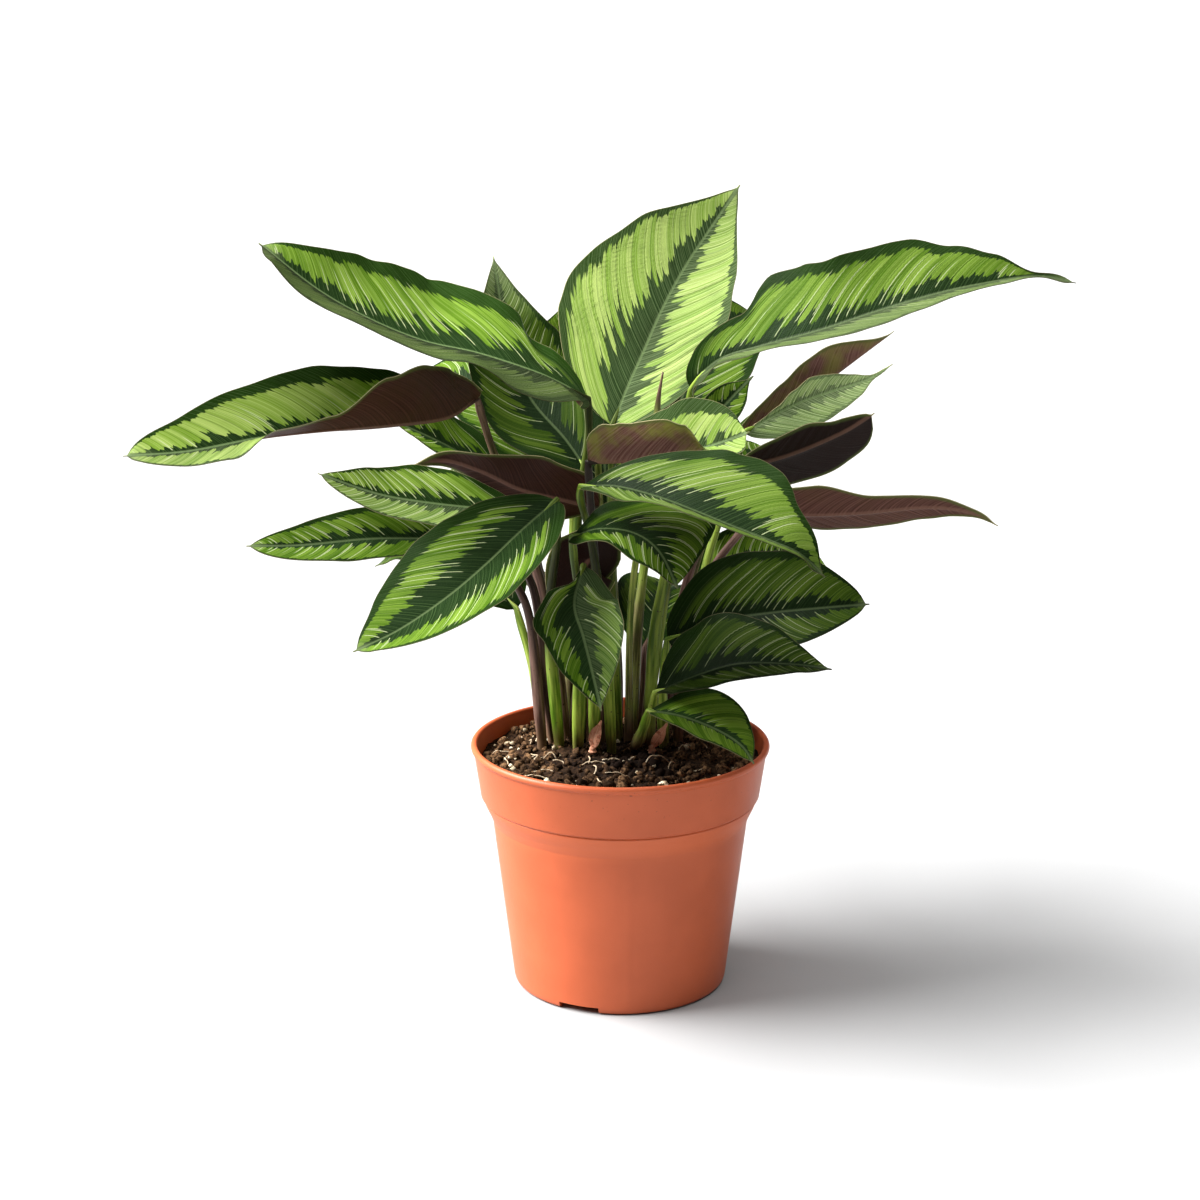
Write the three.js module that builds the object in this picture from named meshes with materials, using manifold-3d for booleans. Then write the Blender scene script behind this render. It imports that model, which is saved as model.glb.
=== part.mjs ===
// Potted calathea: a bushy striped foliage plant in a round nursery pot.
// Millimetres, +Z up, the front toward -Y, the pot's axis on X = Y = 0, its foot on Z = 0.
import * as THREE from 'three';
import { mergeVertices } from 'three/addons/utils/BufferGeometryUtils.js';
import Module from 'manifold-3d';

// ---- driving dimensions ----
const ROUND = 42;               // sides of the pot and of the soil
const RIM_R = 70.9;             // outer radius of the lip: a 14 cm pot
const POT_H = 118.9;            // height over the lip
const COLLAR_Z = 82.4;          // height of the step under the collar
const STEP_R = 60.7;            // body radius at that step
const FOOT_R = 51;              // body radius over the foot's rounding
const WALL = 1.5;               // wall of the pot
const FLOOR_Z = 5.5;            // top of the pot's floor
const RECESS_Z = 2.5;           // recess under the floor
const RECESS_R = 42;            // radius of that recess
const BOSS_R = 9;               // moulding boss in the middle, level with the foot
const NOTCHES = 3;              // drainage notches through the foot
const NOTCH_W = 20;
const NOTCH_H = 3.4;
const NOTCH_TURN = -113;        // direction of the first notch, degrees from +X
const DRAINS = 5;               // round drain holes in the floor
const DRAIN_R = 4;
const DRAIN_AT = 28;            // radius of their circle

const GAP = 0.3;                // clearance between pieces that touch
const SOIL_EDGE_Z = 111.4;      // soil level at the wall
const SOIL_TOP_Z = 115.5;       // soil level in the middle
const HOLE_Z = 99.7;            // floor of the holes that the stems stand in
const ROOT_Z = 100;             // lower end of every stem
const CLEAR_Z = 116;            // stems rise straight to here, then bend
const STEM_R = 2.5;             // stem radius in the soil
const STEM_TOP_R = 1.5;         // stem radius at the blade
const SHEATH = 0.6;             // swelling of the sheath round the stem's lower half
const STEM_SIDES = 6;
const LONG_STEP = 27;           // length of a stem's facets
const MIDRIB_R = 0.7;           // where the stem has run out under the blade
const MIDRIB_END = 0.08;        // share of the blade that it runs under

const BLADE = 0.9;              // thickness of a blade
const TIP_W = 0.8;              // half width of a blade's two ends
const TIGHTEN_W = 8;            // below this half width a fold opens flat
const LONG_ROW = 17;            // length of a blade's facets
const WIDE_SIDE = 28;           // blades wider than this get a fourth facet a side

const POT_COLOUR = 0xd9764e;
const SOIL_COLOUR = 0x35261c;
const GREEN = 0x3f7d33;
const MAROON = 0x5a2f30;
const SPEAR_COLOUR = 0x7a4a34;
const DRY_COLOUR = 0xb98464;

// ---- the leaves ----
// root: where the stem leaves the soil, X and Y. stalk: points that the stem passes.
// rib: the midrib from base to tip. looks: where the upper face looks, base to tip, as
// degrees round from the front and degrees up. wide: half width at the widest.
// widest: share of the length where that is. full: bluntness, small is blunt.
// drip: how much the tip is drawn in. Left and right of the midrib, base to tip:
// fold, degrees that the half is raised; curl, further degrees out to the margin;
// half, share of the width. wave: height, number of waves and phase of the margin.
const PLAIN = {
  "stalk": [], "widest": 0.42, "full": 0.8, "drip": 0.35,
  "fold": [[0], [0]], "curl": [[0], [0]], "half": [[1], [1]], "wave": [0, 2, 0],
};
// leaves that show their maroon underside at the front
const TURNED = ['leaf_left_turned', 'leaf_right_folded', 'leaf_right_blunt',
  'leaf_right_turned', 'leaf_centre_dark'];
const LEAVES = [
  {"name": "leaf_upper_left", "root": [-17, 14],
    "stalk": [[-19, 12, 165], [-20, 20, 221], [-15, 12, 261]],
    "rib": [[-15, 0, 283], [-27, -10, 292], [-40, -22, 300], [-64, -34, 310], [-87, -44, 317],
            [-110, -52, 328], [-132, -58, 342], [-156, -60, 362]],
    "looks": [[-5, 58], [-10, 58], [-15, 55]], "wide": 36, "widest": 0.48, "full": 0.6, "drip": 0.15,
    "fold": [[2, 12, 28, 34, 36], [12]], "half": [[1], [1.1, 1.1, 1.05, 1, 1]]},
  {"name": "leaf_left_rolled", "root": [-26, 17],
    "stalk": [[-32, 18, 163], [-44, 25, 211], [-58, 19, 250], [-64, 10, 272]],
    "rib": [[-66, 2, 283], [-79, -18, 278], [-102, -42, 279], [-133, -62, 280],
            [-158, -72, 279], [-187, -80, 275], [-214, -85, 274]],
    "looks": [[0, 35], [0, 35], [0, 40]], "wide": 30, "widest": 0.5, "full": 0.52, "drip": 0,
    "fold": [[95, 100, 100, 100, 95, 80, 30, 20, 20], [15]], "curl": [[40, 40, 20, 0, 0, 0], [10]],
    "half": [[1.35, 1.2, 1.15, 0.97, 0.35, 0.33, 0.5, 0.5, 0.5], [0.95, 0.9, 0.95, 0.85, 0.75]]},
  {"name": "leaf_left_tucked", "root": [-33, 20], "stalk": [[-36, 26, 181], [-45, 32, 214]],
    "rib": [[-55, 36, 238], [-69, 28, 248], [-84, 17, 259], [-106, 6, 272]],
    "looks": [[-20, 60], [-20, 55]], "wide": 23, "fold": [[15], [15]],
    "half": [[0.4, 0.6, 0.9, 1], [1]]},
  {"name": "leaf_left_turned", "root": [-8, 8], "stalk": [[-9, 9, 174]],
    "rib": [[-10, 12, 229], [-28, 5, 235], [-47, 0, 241], [-64, -4, 250],
            [-81, -8, 256], [-97, -12, 254]],
    "looks": [[170, 25], [170, 25], [170, 20]], "wide": 19,
    "half": [[1.4, 1.2, 0.75, 0.5], [0.9, 0.8, 0.5, 0.5]], "wave": [2, 2.5, 0]},
  {"name": "leaf_left_middle", "root": [-32, 11], "stalk": [[-39, 2, 184], [-45, -8, 208]],
    "rib": [[-47, -14, 234], [-64, -24, 237], [-90, -37, 243], [-110, -46, 249], [-134, -55, 260]],
    "looks": [[0, 58], [0, 55], [0, 50]], "wide": 20, "widest": 0.48, "full": 0.52, "drip": 0,
    "fold": [[8], [15]], "half": [[1, 0.9, 0.75, 0.65], [1, 1, 0.95, 0.75, 0.4]]},
  {"name": "leaf_left_low", "root": [-37, 6], "stalk": [[-42, -2, 177], [-50, -14, 203]],
    "rib": [[-55, -22, 222], [-86, -37, 226], [-112, -50, 229], [-142, -62, 229], [-165, -67, 230]],
    "looks": [[0, 58], [0, 58], [0, 60]], "wide": 18, "widest": 0.46, "full": 0.58, "drip": 0,
    "fold": [[5], [20]], "half": [[0.5, 0.65, 0.85, 1], [0.95, 0.9, 0.8]]},
  {"name": "leaf_front_left", "root": [-29, 4], "stalk": [[-33, -12, 181], [-29, -32, 224]],
    "rib": [[-29, -42, 245], [-44, -58, 235], [-60, -75, 223], [-76, -88, 212],
            [-96, -101, 201], [-115, -110, 194]],
    "looks": [[-20, 45], [-20, 50], [-25, 50]], "wide": 32, "widest": 0.48, "full": 0.65,
    "drip": 0.1, "fold": [[22], [25, 20, 10, 10]], "curl": [[0], [-10]],
    "half": [[1], [0.9, 0.95, 1.02, 1.05]]},
  {"name": "leaf_behind_left", "root": [-12, 22], "stalk": [[-13, 26, 181]],
    "rib": [[-15, 32, 241], [-26, 44, 255], [-43, 60, 272], [-54, 72, 296],
            [-58, 78, 317], [-61, 78, 338]],
    "looks": [[0, 25], [0, 30], [0, 30]], "wide": 28, "fold": [[15], [15]], "half": [[0.9], [1.05]]},
  {"name": "leaf_behind_top", "root": [-4, 26], "stalk": [[-8, 38, 187]],
    "rib": [[-11, 57, 252], [-20, 74, 271], [-28, 90, 290], [-26, 98, 314]],
    "looks": [[0, 30], [0, 30]], "wide": 27, "fold": [[15], [15]]},
  {"name": "leaf_top", "root": [-1, 15], "stalk": [[-4, 14, 184]],
    "rib": [[-4, 13, 268], [3, 22, 284], [11, 32, 300], [19, 40, 317],
            [29, 46, 335], [41, 50, 353], [56, 52, 375]],
    "looks": [[10, 15], [10, 15], [10, 12]], "wide": 42, "widest": 0.4, "fold": [[5], [22]],
    "half": [[1.05, 1.12, 1.04, 1.12], [0.72, 0.72, 0.8, 0.95]], "wave": [1.5, 1.5, 0]},
  {"name": "leaf_upper_right", "root": [14, 9], "stalk": [[16, 8, 166], [22, 6, 205], [28, 2, 259]],
    "rib": [[32, -5, 288], [37, -10, 297], [47, -14, 305], [64, -20, 311], [88, -28, 319],
            [112, -33, 328], [136, -37, 336], [156, -39, 341], [181, -40, 345], [199, -40, 342]],
    "looks": [[10, 50], [8, 48], [5, 45]], "wide": 34, "full": 0.65, "drip": 0.3,
    "fold": [[18], [42]], "curl": [[5], [0]], "wave": [1.5, 2.5, 0],
    "half": [[0.5, 0.55, 0.6, 1.05, 0.95, 0.87, 0.87, 0.96, 0.82, 0.7, 0.15, 0.6],
             [0.9, 0.9, 0.9, 0.9, 0.9, 0.88, 0.85, 0.8, 0.7, 0.5, 0.15, 0.6]]},
  {"name": "leaf_right_folded", "root": [21, 25], "stalk": [[29, 32, 169], [40, 44, 206]],
    "rib": [[55, 54, 254], [82, 66, 266], [107, 78, 282], [134, 88, 300]],
    "looks": [[200, 60], [200, 55]], "wide": 20, "fold": [[30], [50]], "curl": [[10], [0]],
    "half": [[1], [0.5, 0.7, 0.9, 0.8]]},
  {"name": "leaf_right_pale", "root": [28, 21], "stalk": [[34, 24, 161], [42, 32, 199], [54, 42, 238]],
    "rib": [[59, 42, 259], [86, 54, 271], [119, 66, 280], [132, 70, 287]],
    "looks": [[10, 20], [20, 20]], "wide": 13, "fold": [[10], [10]],
    "half": [[0.1, 0.15, 0.25, 0.5, 0.75, 0.7, 0.6, 0.3, 0.6],
             [1.1, 1.1, 1.05, 1.05, 1, 0.9, 0.8, 0.3, 0.6]]},
  {"name": "leaf_right_blunt", "root": [21, 15], "stalk": [[26, 20, 162], [35, 23, 201]],
    "rib": [[54, 24, 245], [80, 33, 250], [105, 40, 259], [121, 44, 268]],
    "looks": [[190, 30], [190, 20]], "wide": 22, "widest": 0.5, "full": 0.42, "drip": 0,
    "fold": [[10], [10]], "half": [[1.1, 1.1, 1, 1.1, 1.3], [0.5, 0.55, 0.55, 0.4, 0.3]]},
  {"name": "leaf_right_turned", "root": [28, 12], "stalk": [[30, 12, 160], [42, 12, 197]],
    "rib": [[64, 8, 228], [87, 3, 228], [111, -2, 230], [142, -8, 234], [163, -8, 231], [174, -8, 225]],
    "looks": [[180, 35], [180, 30]], "wide": 18, "widest": 0.35, "fold": [[10], [0]],
    "half": [[0.75], [1.4, 1.1, 0.6, 0.6, 0.6]]},
  {"name": "leaf_centre_rolled", "root": [-14, 5], "stalk": [[-11, -6, 180], [-14, -20, 240]],
    "rib": [[-15, -26, 259], [4, -32, 261], [23, -38, 264], [39, -40, 269], [57, -42, 276]],
    "looks": [[15, 40], [15, 40], [15, 40]], "wide": 26, "widest": 0.52, "full": 0.38, "drip": 0,
    "fold": [[25, 25, 15], [105, 105, 105, 105, 105, 105, 100, 25, 5, 5]],
    "curl": [[0], [20, 20, 20, 20, 0]],
    "half": [[0.7, 0.7, 0.82, 1, 1.1], [1.3, 1.1, 0.9, 0.8, 0.8, 0.8, 0.7, 0.35, 0.6, 0.9]]},
  {"name": "leaf_front_right", "root": [-4, -2],
    "stalk": [[-7, -14, 172], [-13, -30, 221], [-18, -48, 246]],
    "rib": [[-18, -55, 254], [-3, -68, 257], [15, -80, 255], [31, -90, 251], [47, -98, 246],
            [63, -104, 241], [75, -106, 236], [86, -106, 226]],
    "looks": [[20, 50], [20, 45], [20, 40]], "wide": 35, "widest": 0.5,
    "fold": [[20], [20, 30, 45, 50, 50]], "curl": [[-10], [0]],
    "half": [[0.68, 0.76, 0.95, 1.12, 1.12], [0.75]]},
  {"name": "leaf_front_centre", "root": [-12, -3], "stalk": [[-13, -18, 168], [-20, -40, 208]],
    "rib": [[-22, -50, 230], [-10, -60, 236], [5, -72, 237], [16, -82, 231], [24, -88, 216]],
    "looks": [[20, 50], [20, 45], [20, 20]], "wide": 23, "widest": 0.5, "full": 0.5, "drip": 0.5,
    "fold": [[0], [20]], "half": [[0.8, 1, 1.3, 1.8, 1.9], [0.8]], "wave": [2, 2, 0]},
  {"name": "leaf_front_hanging", "root": [-20, -3], "stalk": [[-19, -24, 161], [-17, -42, 199]],
    "rib": [[-17, -51, 217], [-21, -64, 203], [-17, -75, 191], [-13, -83, 177], [-9, -86, 160]],
    "looks": [[0, 25], [0, 15], [0, 10]], "wide": 20, "widest": 0.45, "full": 0.65,
    "fold": [[15], [15]], "wave": [1.5, 2, 0],
    "half": [[0.9, 1.05, 1, 0.85, 0.85], [0.15, 0.2, 0.75, 1, 0.9, 0.85, 0.85, 0.9, 1]]},
  {"name": "leaf_low_right_upper", "root": [21, 6], "stalk": [[20, 3, 143]],
    "rib": [[22, -2, 169], [46, -6, 179], [69, -14, 185], [92, -20, 189], [114, -24, 192]],
    "looks": [[10, 45], [10, 45]], "wide": 32, "widest": 0.45, "full": 0.55, "drip": 0.2,
    "fold": [[25], [10]], "half": [[0.7, 0.92, 0.95, 1.05], [0.6, 0.6, 0.75, 0.8]]},
  {"name": "leaf_low_right_middle", "root": [13, 2], "stalk": [[14, -8, 130]],
    "rib": [[16, -22, 149], [36, -40, 163], [54, -50, 171], [76, -58, 173], [94, -62, 172]],
    "looks": [[10, 50], [10, 50]], "wide": 25, "fold": [[15], [30]],
    "half": [[1.6, 1.1, 1, 1.1], [0.4, 0.8, 0.9, 0.9]]},
  {"name": "leaf_low_right_bottom", "root": [7, -3], "stalk": [[10, -14, 127]],
    "rib": [[13, -28, 142], [27, -39, 143], [43, -50, 140], [54, -58, 135], [60, -60, 127]],
    "looks": [[30, 45], [30, 40]], "wide": 18, "full": 0.65, "drip": 0.2, "fold": [[10], [10]],
    "half": [[0.5, 1.1, 1.1, 1.05, 1.2], [0.35, 0.45, 0.7, 1]]},
  {"name": "leaf_right_inner", "root": [12, 17], "stalk": [[19, 14, 174], [28, 12, 223]],
    "rib": [[37, 12, 265], [44, 16, 272], [53, 21, 281], [62, 26, 289]],
    "looks": [[20, 40], [20, 40]], "wide": 9, "fold": [[15], [15]]},
  {"name": "leaf_centre_dark", "root": [-22, 8], "stalk": [[-18, 5, 162]],
    "rib": [[-15, 5, 192], [-14, 1, 206], [-17, -3, 204], [-21, -5, 190], [-24, -5, 170]],
    "looks": [[190, 0], [190, 0]], "wide": 17, "fold": [[10], [10]]},
  {"name": "leaf_rear_left_high", "root": [-24, 26], "stalk": [[-24, 34, 170]],
    "rib": [[-22, 44, 232], [-50, 74, 262], [-82, 102, 275], [-112, 126, 264]],
    "looks": [[-40, 70], [-45, 65]], "wide": 28, "fold": [[12], [12]]},
  {"name": "leaf_rear_right_high", "root": [6, 26], "stalk": [[9, 40, 170]],
    "rib": [[20, 66, 245], [40, 108, 283], [60, 144, 298], [80, 170, 288]],
    "looks": [[30, 70], [40, 65]], "wide": 28, "fold": [[12], [12]]},
  {"name": "leaf_rear_middle", "root": [-1, 34], "stalk": [[-2, 44, 160]],
    "rib": [[-4, 54, 205], [-8, 92, 238], [-10, 134, 248], [-10, 174, 228]],
    "looks": [[180, 85], [180, 60]], "wide": 30, "fold": [[12], [12]]},
  {"name": "leaf_rear_left_middle", "root": [-30, 34], "stalk": [[-34, 44, 160]],
    "rib": [[-42, 56, 204], [-70, 92, 224], [-92, 124, 220], [-108, 148, 200]],
    "looks": [[-140, 70], [-140, 55]], "wide": 27, "fold": [[12], [12]]},
  {"name": "leaf_rear_right_middle", "root": [25, 33], "stalk": [[30, 44, 165]],
    "rib": [[38, 58, 212], [62, 94, 232], [82, 126, 230], [94, 150, 212]],
    "looks": [[140, 70], [140, 55]], "wide": 26, "fold": [[12], [12]]},
  {"name": "leaf_rear_left_low", "root": [-36, 27], "stalk": [[-42, 32, 145]],
    "rib": [[-50, 42, 172], [-74, 58, 194], [-98, 74, 196], [-122, 86, 182]],
    "looks": [[-60, 75], [-60, 60]], "wide": 25, "fold": [[12], [12]]},
  {"name": "leaf_rear_right_low", "root": [32, 29], "stalk": [[35, 33, 145]],
    "rib": [[38, 38, 172], [64, 62, 188], [90, 84, 188], [112, 102, 170]],
    "looks": [[60, 75], [60, 60]], "wide": 25, "fold": [[12], [12]]},
  {"name": "leaf_rear_short_right", "root": [10, 36], "stalk": [[11, 41, 132]],
    "rib": [[12, 48, 150], [22, 82, 168], [32, 114, 164], [40, 142, 142]],
    "looks": [[160, 80], [160, 55]], "wide": 24, "fold": [[12], [12]]},
  {"name": "leaf_rear_short_left", "root": [-13, 33], "stalk": [[-14, 38, 136]],
    "rib": [[-16, 46, 158], [-26, 80, 176], [-34, 112, 170], [-40, 138, 148]],
    "looks": [[200, 80], [200, 55]], "wide": 24, "fold": [[12], [12]]},
];

// the rolled new leaf in the middle: stem and roll in one, radii from soil to tip
const SPEAR = {
  "root": [4, 9],
  "path": [[5, 2, 187], [13, -6, 246], [16, -8, 270], [17, -8, 284], [19, -8, 297]],
  "radii": [2.4, 1.8, 1.6, 1.7, 2.9, 2.3, 0.5],
};

// dry scales at the stems' feet: root, rib and half width
const SCALES = [
  {"name": "dry_scale_front", "root": [-13, -10],
    "rib": [[-13, -10, 118], [-12, -11, 124], [-9, -11, 132]],
    "looks": [[-30, 10], [-10, 10]], "wide": 2.8, "fold": [[10], [10]]},
  {"name": "dry_scale_right", "root": [15, -8],
    "rib": [[15, -8, 118], [18, -9, 123], [22, -9, 130]],
    "looks": [[20, 15], [20, 30]], "wide": 2.4, "fold": [[12], [12]]},
];

const wasm = await Module();
wasm.setup();

const part = new THREE.Group();
part.name = 'potted_calathea';

// ---- solids and meshes ----
function toManifold(geometry) {
  const bare = geometry.clone();
  bare.deleteAttribute('normal');
  bare.deleteAttribute('uv');
  const merged = mergeVertices(bare, 1e-4);
  const vertProperties = new Float32Array(merged.getAttribute('position').array);
  const triVerts = new Uint32Array(merged.getIndex().array);
  return new wasm.Manifold(new wasm.Mesh({ numProp: 3, vertProperties, triVerts }));
}

function toGeometry(manifold) {
  const mesh = manifold.getMesh();
  const geometry = new THREE.BufferGeometry();
  const points = new THREE.BufferAttribute(new Float32Array(mesh.vertProperties), 3);
  geometry.setAttribute('position', points);
  geometry.setIndex(Array.from(mesh.triVerts));
  geometry.computeVertexNormals();
  return geometry;
}

function closed(points, faces) {
  const geometry = new THREE.BufferGeometry();
  const flat = points.flatMap((p) => [p.x, p.y, p.z]);
  geometry.setAttribute('position', new THREE.Float32BufferAttribute(flat, 3));
  geometry.setIndex(faces.flat());
  return geometry;
}

function addPiece(name, manifold, color, roughness) {
  const material = new THREE.MeshStandardMaterial({ color, roughness, metalness: 0 });
  const mesh = new THREE.Mesh(toGeometry(manifold), material);
  mesh.name = name;
  part.add(mesh);
}

// a profile of [radius, height] turned round the Z axis
function turned(profile) {
  const points = profile.map(([r, z]) => new THREE.Vector2(r, z));
  const geometry = new THREE.LatheGeometry(points, ROUND);
  geometry.rotateX(Math.PI / 2);
  return toManifold(geometry);
}

function upright(radius, low, high, x, y, sides) {
  const geometry = new THREE.CylinderGeometry(radius, radius, high - low, sides);
  geometry.rotateX(Math.PI / 2);
  geometry.translate(x, y, (low + high) / 2);
  return toManifold(geometry);
}

// ---- leaf geometry ----
const vec = ([x, y, z]) => new THREE.Vector3(x, y, z);
const rad = THREE.MathUtils.degToRad;

// eased value of evenly spaced keys at u in 0..1
function eased(keys, u) {
  const x = Math.min(Math.max(u, 0), 1) * (keys.length - 1);
  const i = Math.min(Math.floor(x), Math.max(keys.length - 2, 0));
  const w = THREE.MathUtils.smoothstep(x - i, 0, 1);
  return keys.length === 1 ? keys[0] : keys[i] * (1 - w) + keys[i + 1] * w;
}

function smoothPath(points) {
  return new THREE.CatmullRomCurve3(points.map(vec), false, 'catmullrom', 0.5);
}

function halfWidth(leaf, u) {
  const power = Math.log(0.5) / Math.log(leaf.widest);
  const bulge = Math.max(Math.sin(Math.PI * u ** power), 0) ** leaf.full;
  const drawn = 1 - leaf.drip * THREE.MathUtils.smoothstep(u, 0.72, 1);
  return TIP_W + leaf.wide * bulge * drawn;
}

// the midrib's point, direction T, upward normal N and right-hand side R at u
function frameAt(leaf, curve, u) {
  const point = curve.getPointAt(u);
  const T = curve.getTangentAt(u);
  const turn = rad(eased(leaf.looks.map((k) => k[0]), u));
  const rise = rad(eased(leaf.looks.map((k) => k[1]), u));
  const sight = new THREE.Vector3(
    Math.sin(turn) * Math.cos(rise), -Math.cos(turn) * Math.cos(rise), Math.sin(rise));
  const N = sight.addScaledVector(T, -sight.dot(T)).normalize();
  const R = new THREE.Vector3().crossVectors(T, N);
  return { point, T, N, R };
}

// cross-section of the blade at u: [out, up] in the plane of R and N, left margin first
function section(leaf, u, columns) {
  const width = halfWidth(leaf, u);
  const open = Math.min(1, width / TIGHTEN_W);
  const [high, waves, phase] = leaf.wave;
  const calm = Math.min(1, 4 * u) * Math.min(1, 4 * (1 - u));
  const points = [];
  for (let j = -columns; j <= columns; j += 1) {
    const side = j < 0 ? 0 : 1;
    const sign = j < 0 ? -1 : 1;
    const t = Math.abs(j) / columns;
    const fold = rad(eased(leaf.fold[side], u)) * open;
    const curl = rad(eased(leaf.curl[side], u)) * open || 1e-4;
    const w = width * eased(leaf.half[side], u);
    const bend = fold + curl * t;
    const out = w * (Math.sin(bend) - Math.sin(fold)) / curl;
    const up = w * (Math.cos(fold) - Math.cos(bend)) / curl;
    const ripple = Math.sin(2 * Math.PI * (waves * u + phase + 0.37 * side));
    points.push(new THREE.Vector2(sign * out, up + high * t * t * ripple * calm));
  }
  return points;
}

// offsets from a section to the blade's upper face, mitred at every bend
function miters(points) {
  const normals = points.slice(1).map((p, k) => {
    const d = p.clone().sub(points[k]).normalize();
    return new THREE.Vector2(-d.y, d.x);
  });
  return points.map((_, k) => {
    const before = normals[Math.max(k - 1, 0)];
    const after = normals[Math.min(k, normals.length - 1)];
    const middle = before.clone().add(after).normalize();
    return middle.multiplyScalar(BLADE / 2 / Math.max(middle.dot(before), 0.4));
  });
}

function bladeSolid(leaf) {
  const curve = smoothPath(leaf.rib);
  const rows = Math.round(THREE.MathUtils.clamp(curve.getLength() / LONG_ROW, 4, 11));
  const columns = leaf.wide > WIDE_SIDE ? 4 : leaf.wide > 5 ? 3 : 1;
  const across = 2 * columns + 1;
  const points = [];
  for (let i = 0; i <= rows; i += 1) {
    const { point, N, R } = frameAt(leaf, curve, i / rows);
    const line = section(leaf, i / rows, columns);
    const lift = miters(line);
    for (const face of [1, -1]) {
      line.forEach((p, k) => {
        const out = p.x + face * lift[k].x;
        const up = p.y + face * lift[k].y;
        points.push(point.clone().addScaledVector(R, out).addScaledVector(N, up));
      });
    }
  }
  const upper = (i, j) => 2 * across * i + j;
  const under = (i, j) => 2 * across * i + across + j;
  const faces = [];
  const quad = (a, b, c, d) => faces.push([a, b, c], [a, c, d]);
  const last = across - 1;
  for (let i = 0; i < rows; i += 1) {
    for (let j = 0; j < last; j += 1) {
      quad(upper(i, j), upper(i, j + 1), upper(i + 1, j + 1), upper(i + 1, j));
      faces.push([under(i, j), under(i + 1, j + 1), under(i, j + 1)]);
      faces.push([under(i, j), under(i + 1, j), under(i + 1, j + 1)]);
    }
    quad(under(i, 0), upper(i, 0), upper(i + 1, 0), under(i + 1, 0));
    quad(under(i, last), under(i + 1, last), upper(i + 1, last), upper(i, last));
  }
  for (let j = 0; j < last; j += 1) {
    quad(under(0, j), under(0, j + 1), upper(0, j + 1), upper(0, j));
    quad(under(rows, j), upper(rows, j), upper(rows, j + 1), under(rows, j + 1));
  }
  return toManifold(closed(points, faces));
}

// a closed tube through the given centres, with a radius for each
function tube(centres, radii, sides) {
  const points = [];
  let side = new THREE.Vector3(1, 0, 0);
  centres.forEach((c, i) => {
    const before = centres[Math.max(i - 1, 0)];
    const after = centres[Math.min(i + 1, centres.length - 1)];
    const along = after.clone().sub(before).normalize();
    side = side.clone().addScaledVector(along, -side.dot(along)).normalize();
    const other = new THREE.Vector3().crossVectors(along, side);
    for (let k = 0; k < sides; k += 1) {
      const angle = 2 * Math.PI * k / sides;
      const p = c.clone().addScaledVector(side, radii[i] * Math.cos(angle));
      points.push(p.addScaledVector(other, radii[i] * Math.sin(angle)));
    }
  });
  const faces = [];
  const end = (centres.length - 1) * sides;
  for (let i = 0; i < centres.length - 1; i += 1) {
    for (let k = 0; k < sides; k += 1) {
      const a = i * sides + k;
      const b = i * sides + (k + 1) % sides;
      faces.push([a, b, b + sides], [a, b + sides, a + sides]);
    }
  }
  for (let k = 1; k < sides - 1; k += 1) {
    faces.push([0, k + 1, k], [end, end + k, end + k + 1]);
  }
  return toManifold(closed(points, faces));
}

// a stem straight up out of its hole, then curved to the blade and a little way under it
function stemSolid(leaf, radius) {
  const [x, y] = leaf.root;
  const route = smoothPath([[x, y, CLEAR_Z], ...leaf.stalk, leaf.rib[0]]);
  const steps = Math.max(3, Math.round(route.getLength() / LONG_STEP));
  const centres = [vec([x, y, ROOT_Z])];
  for (let i = 0; i <= steps; i += 1) {
    centres.push(route.getPointAt(i / steps));
  }
  const radii = centres.map((_, i) => {
    const share = Math.max(i - 1, 0) / steps;
    const swell = SHEATH * Math.sin(Math.PI * Math.min(1, 2 * share));
    return radius + (STEM_TOP_R - radius) * share ** 2 + swell;
  });
  const curve = smoothPath(leaf.rib);
  for (const share of [0.5, 1]) {
    const { point, N } = frameAt(leaf, curve, MIDRIB_END * share);
    centres.push(point.addScaledVector(N, -BLADE * 0.5 * share));
    radii.push(STEM_TOP_R + (MIDRIB_R - STEM_TOP_R) * share);
  }
  return tube(centres, radii, STEM_SIDES);
}

// ---- pot ----
const collarR = 66;
let pot = turned([
  [0, 0], [BOSS_R, 0], [BOSS_R + 0.6, RECESS_Z], [RECESS_R, RECESS_Z], [RECESS_R + 1, 0],
  [FOOT_R - 2.2, 0], [FOOT_R - 0.6, 0.7], [FOOT_R, 2.4], [STEP_R, COLLAR_Z],
  [STEP_R + 2, COLLAR_Z + 2.2], [STEP_R + 4.2, COLLAR_Z + 5.6], [collarR, COLLAR_Z + 9.2],
  [RIM_R - 1.4, POT_H - 3.5], [RIM_R - 0.3, POT_H - 2.8], [RIM_R, POT_H - 1.5],
  [RIM_R - 0.7, POT_H - 0.3], [RIM_R - 2, POT_H], [RIM_R - 3, POT_H - 0.6],
  [RIM_R - 3.3, POT_H - 2.4], [collarR - WALL, COLLAR_Z + 9.2],
  [STEP_R + 2.6, COLLAR_Z + 5.8], [STEP_R - WALL, COLLAR_Z + 0.6],
  [FOOT_R - WALL - 0.1, FLOOR_Z + 1.2], [FOOT_R - WALL - 1.6, FLOOR_Z], [0, FLOOR_Z],
]);
for (let i = 0; i < NOTCHES; i += 1) {
  const box = new THREE.BoxGeometry(FOOT_R - RECESS_R + 8, NOTCH_W, 2 * NOTCH_H);
  box.translate((FOOT_R + RECESS_R) / 2 + 2, 0, 0);
  box.rotateZ(rad(NOTCH_TURN + 360 * i / NOTCHES));
  pot = pot.subtract(toManifold(box));
}
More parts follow.
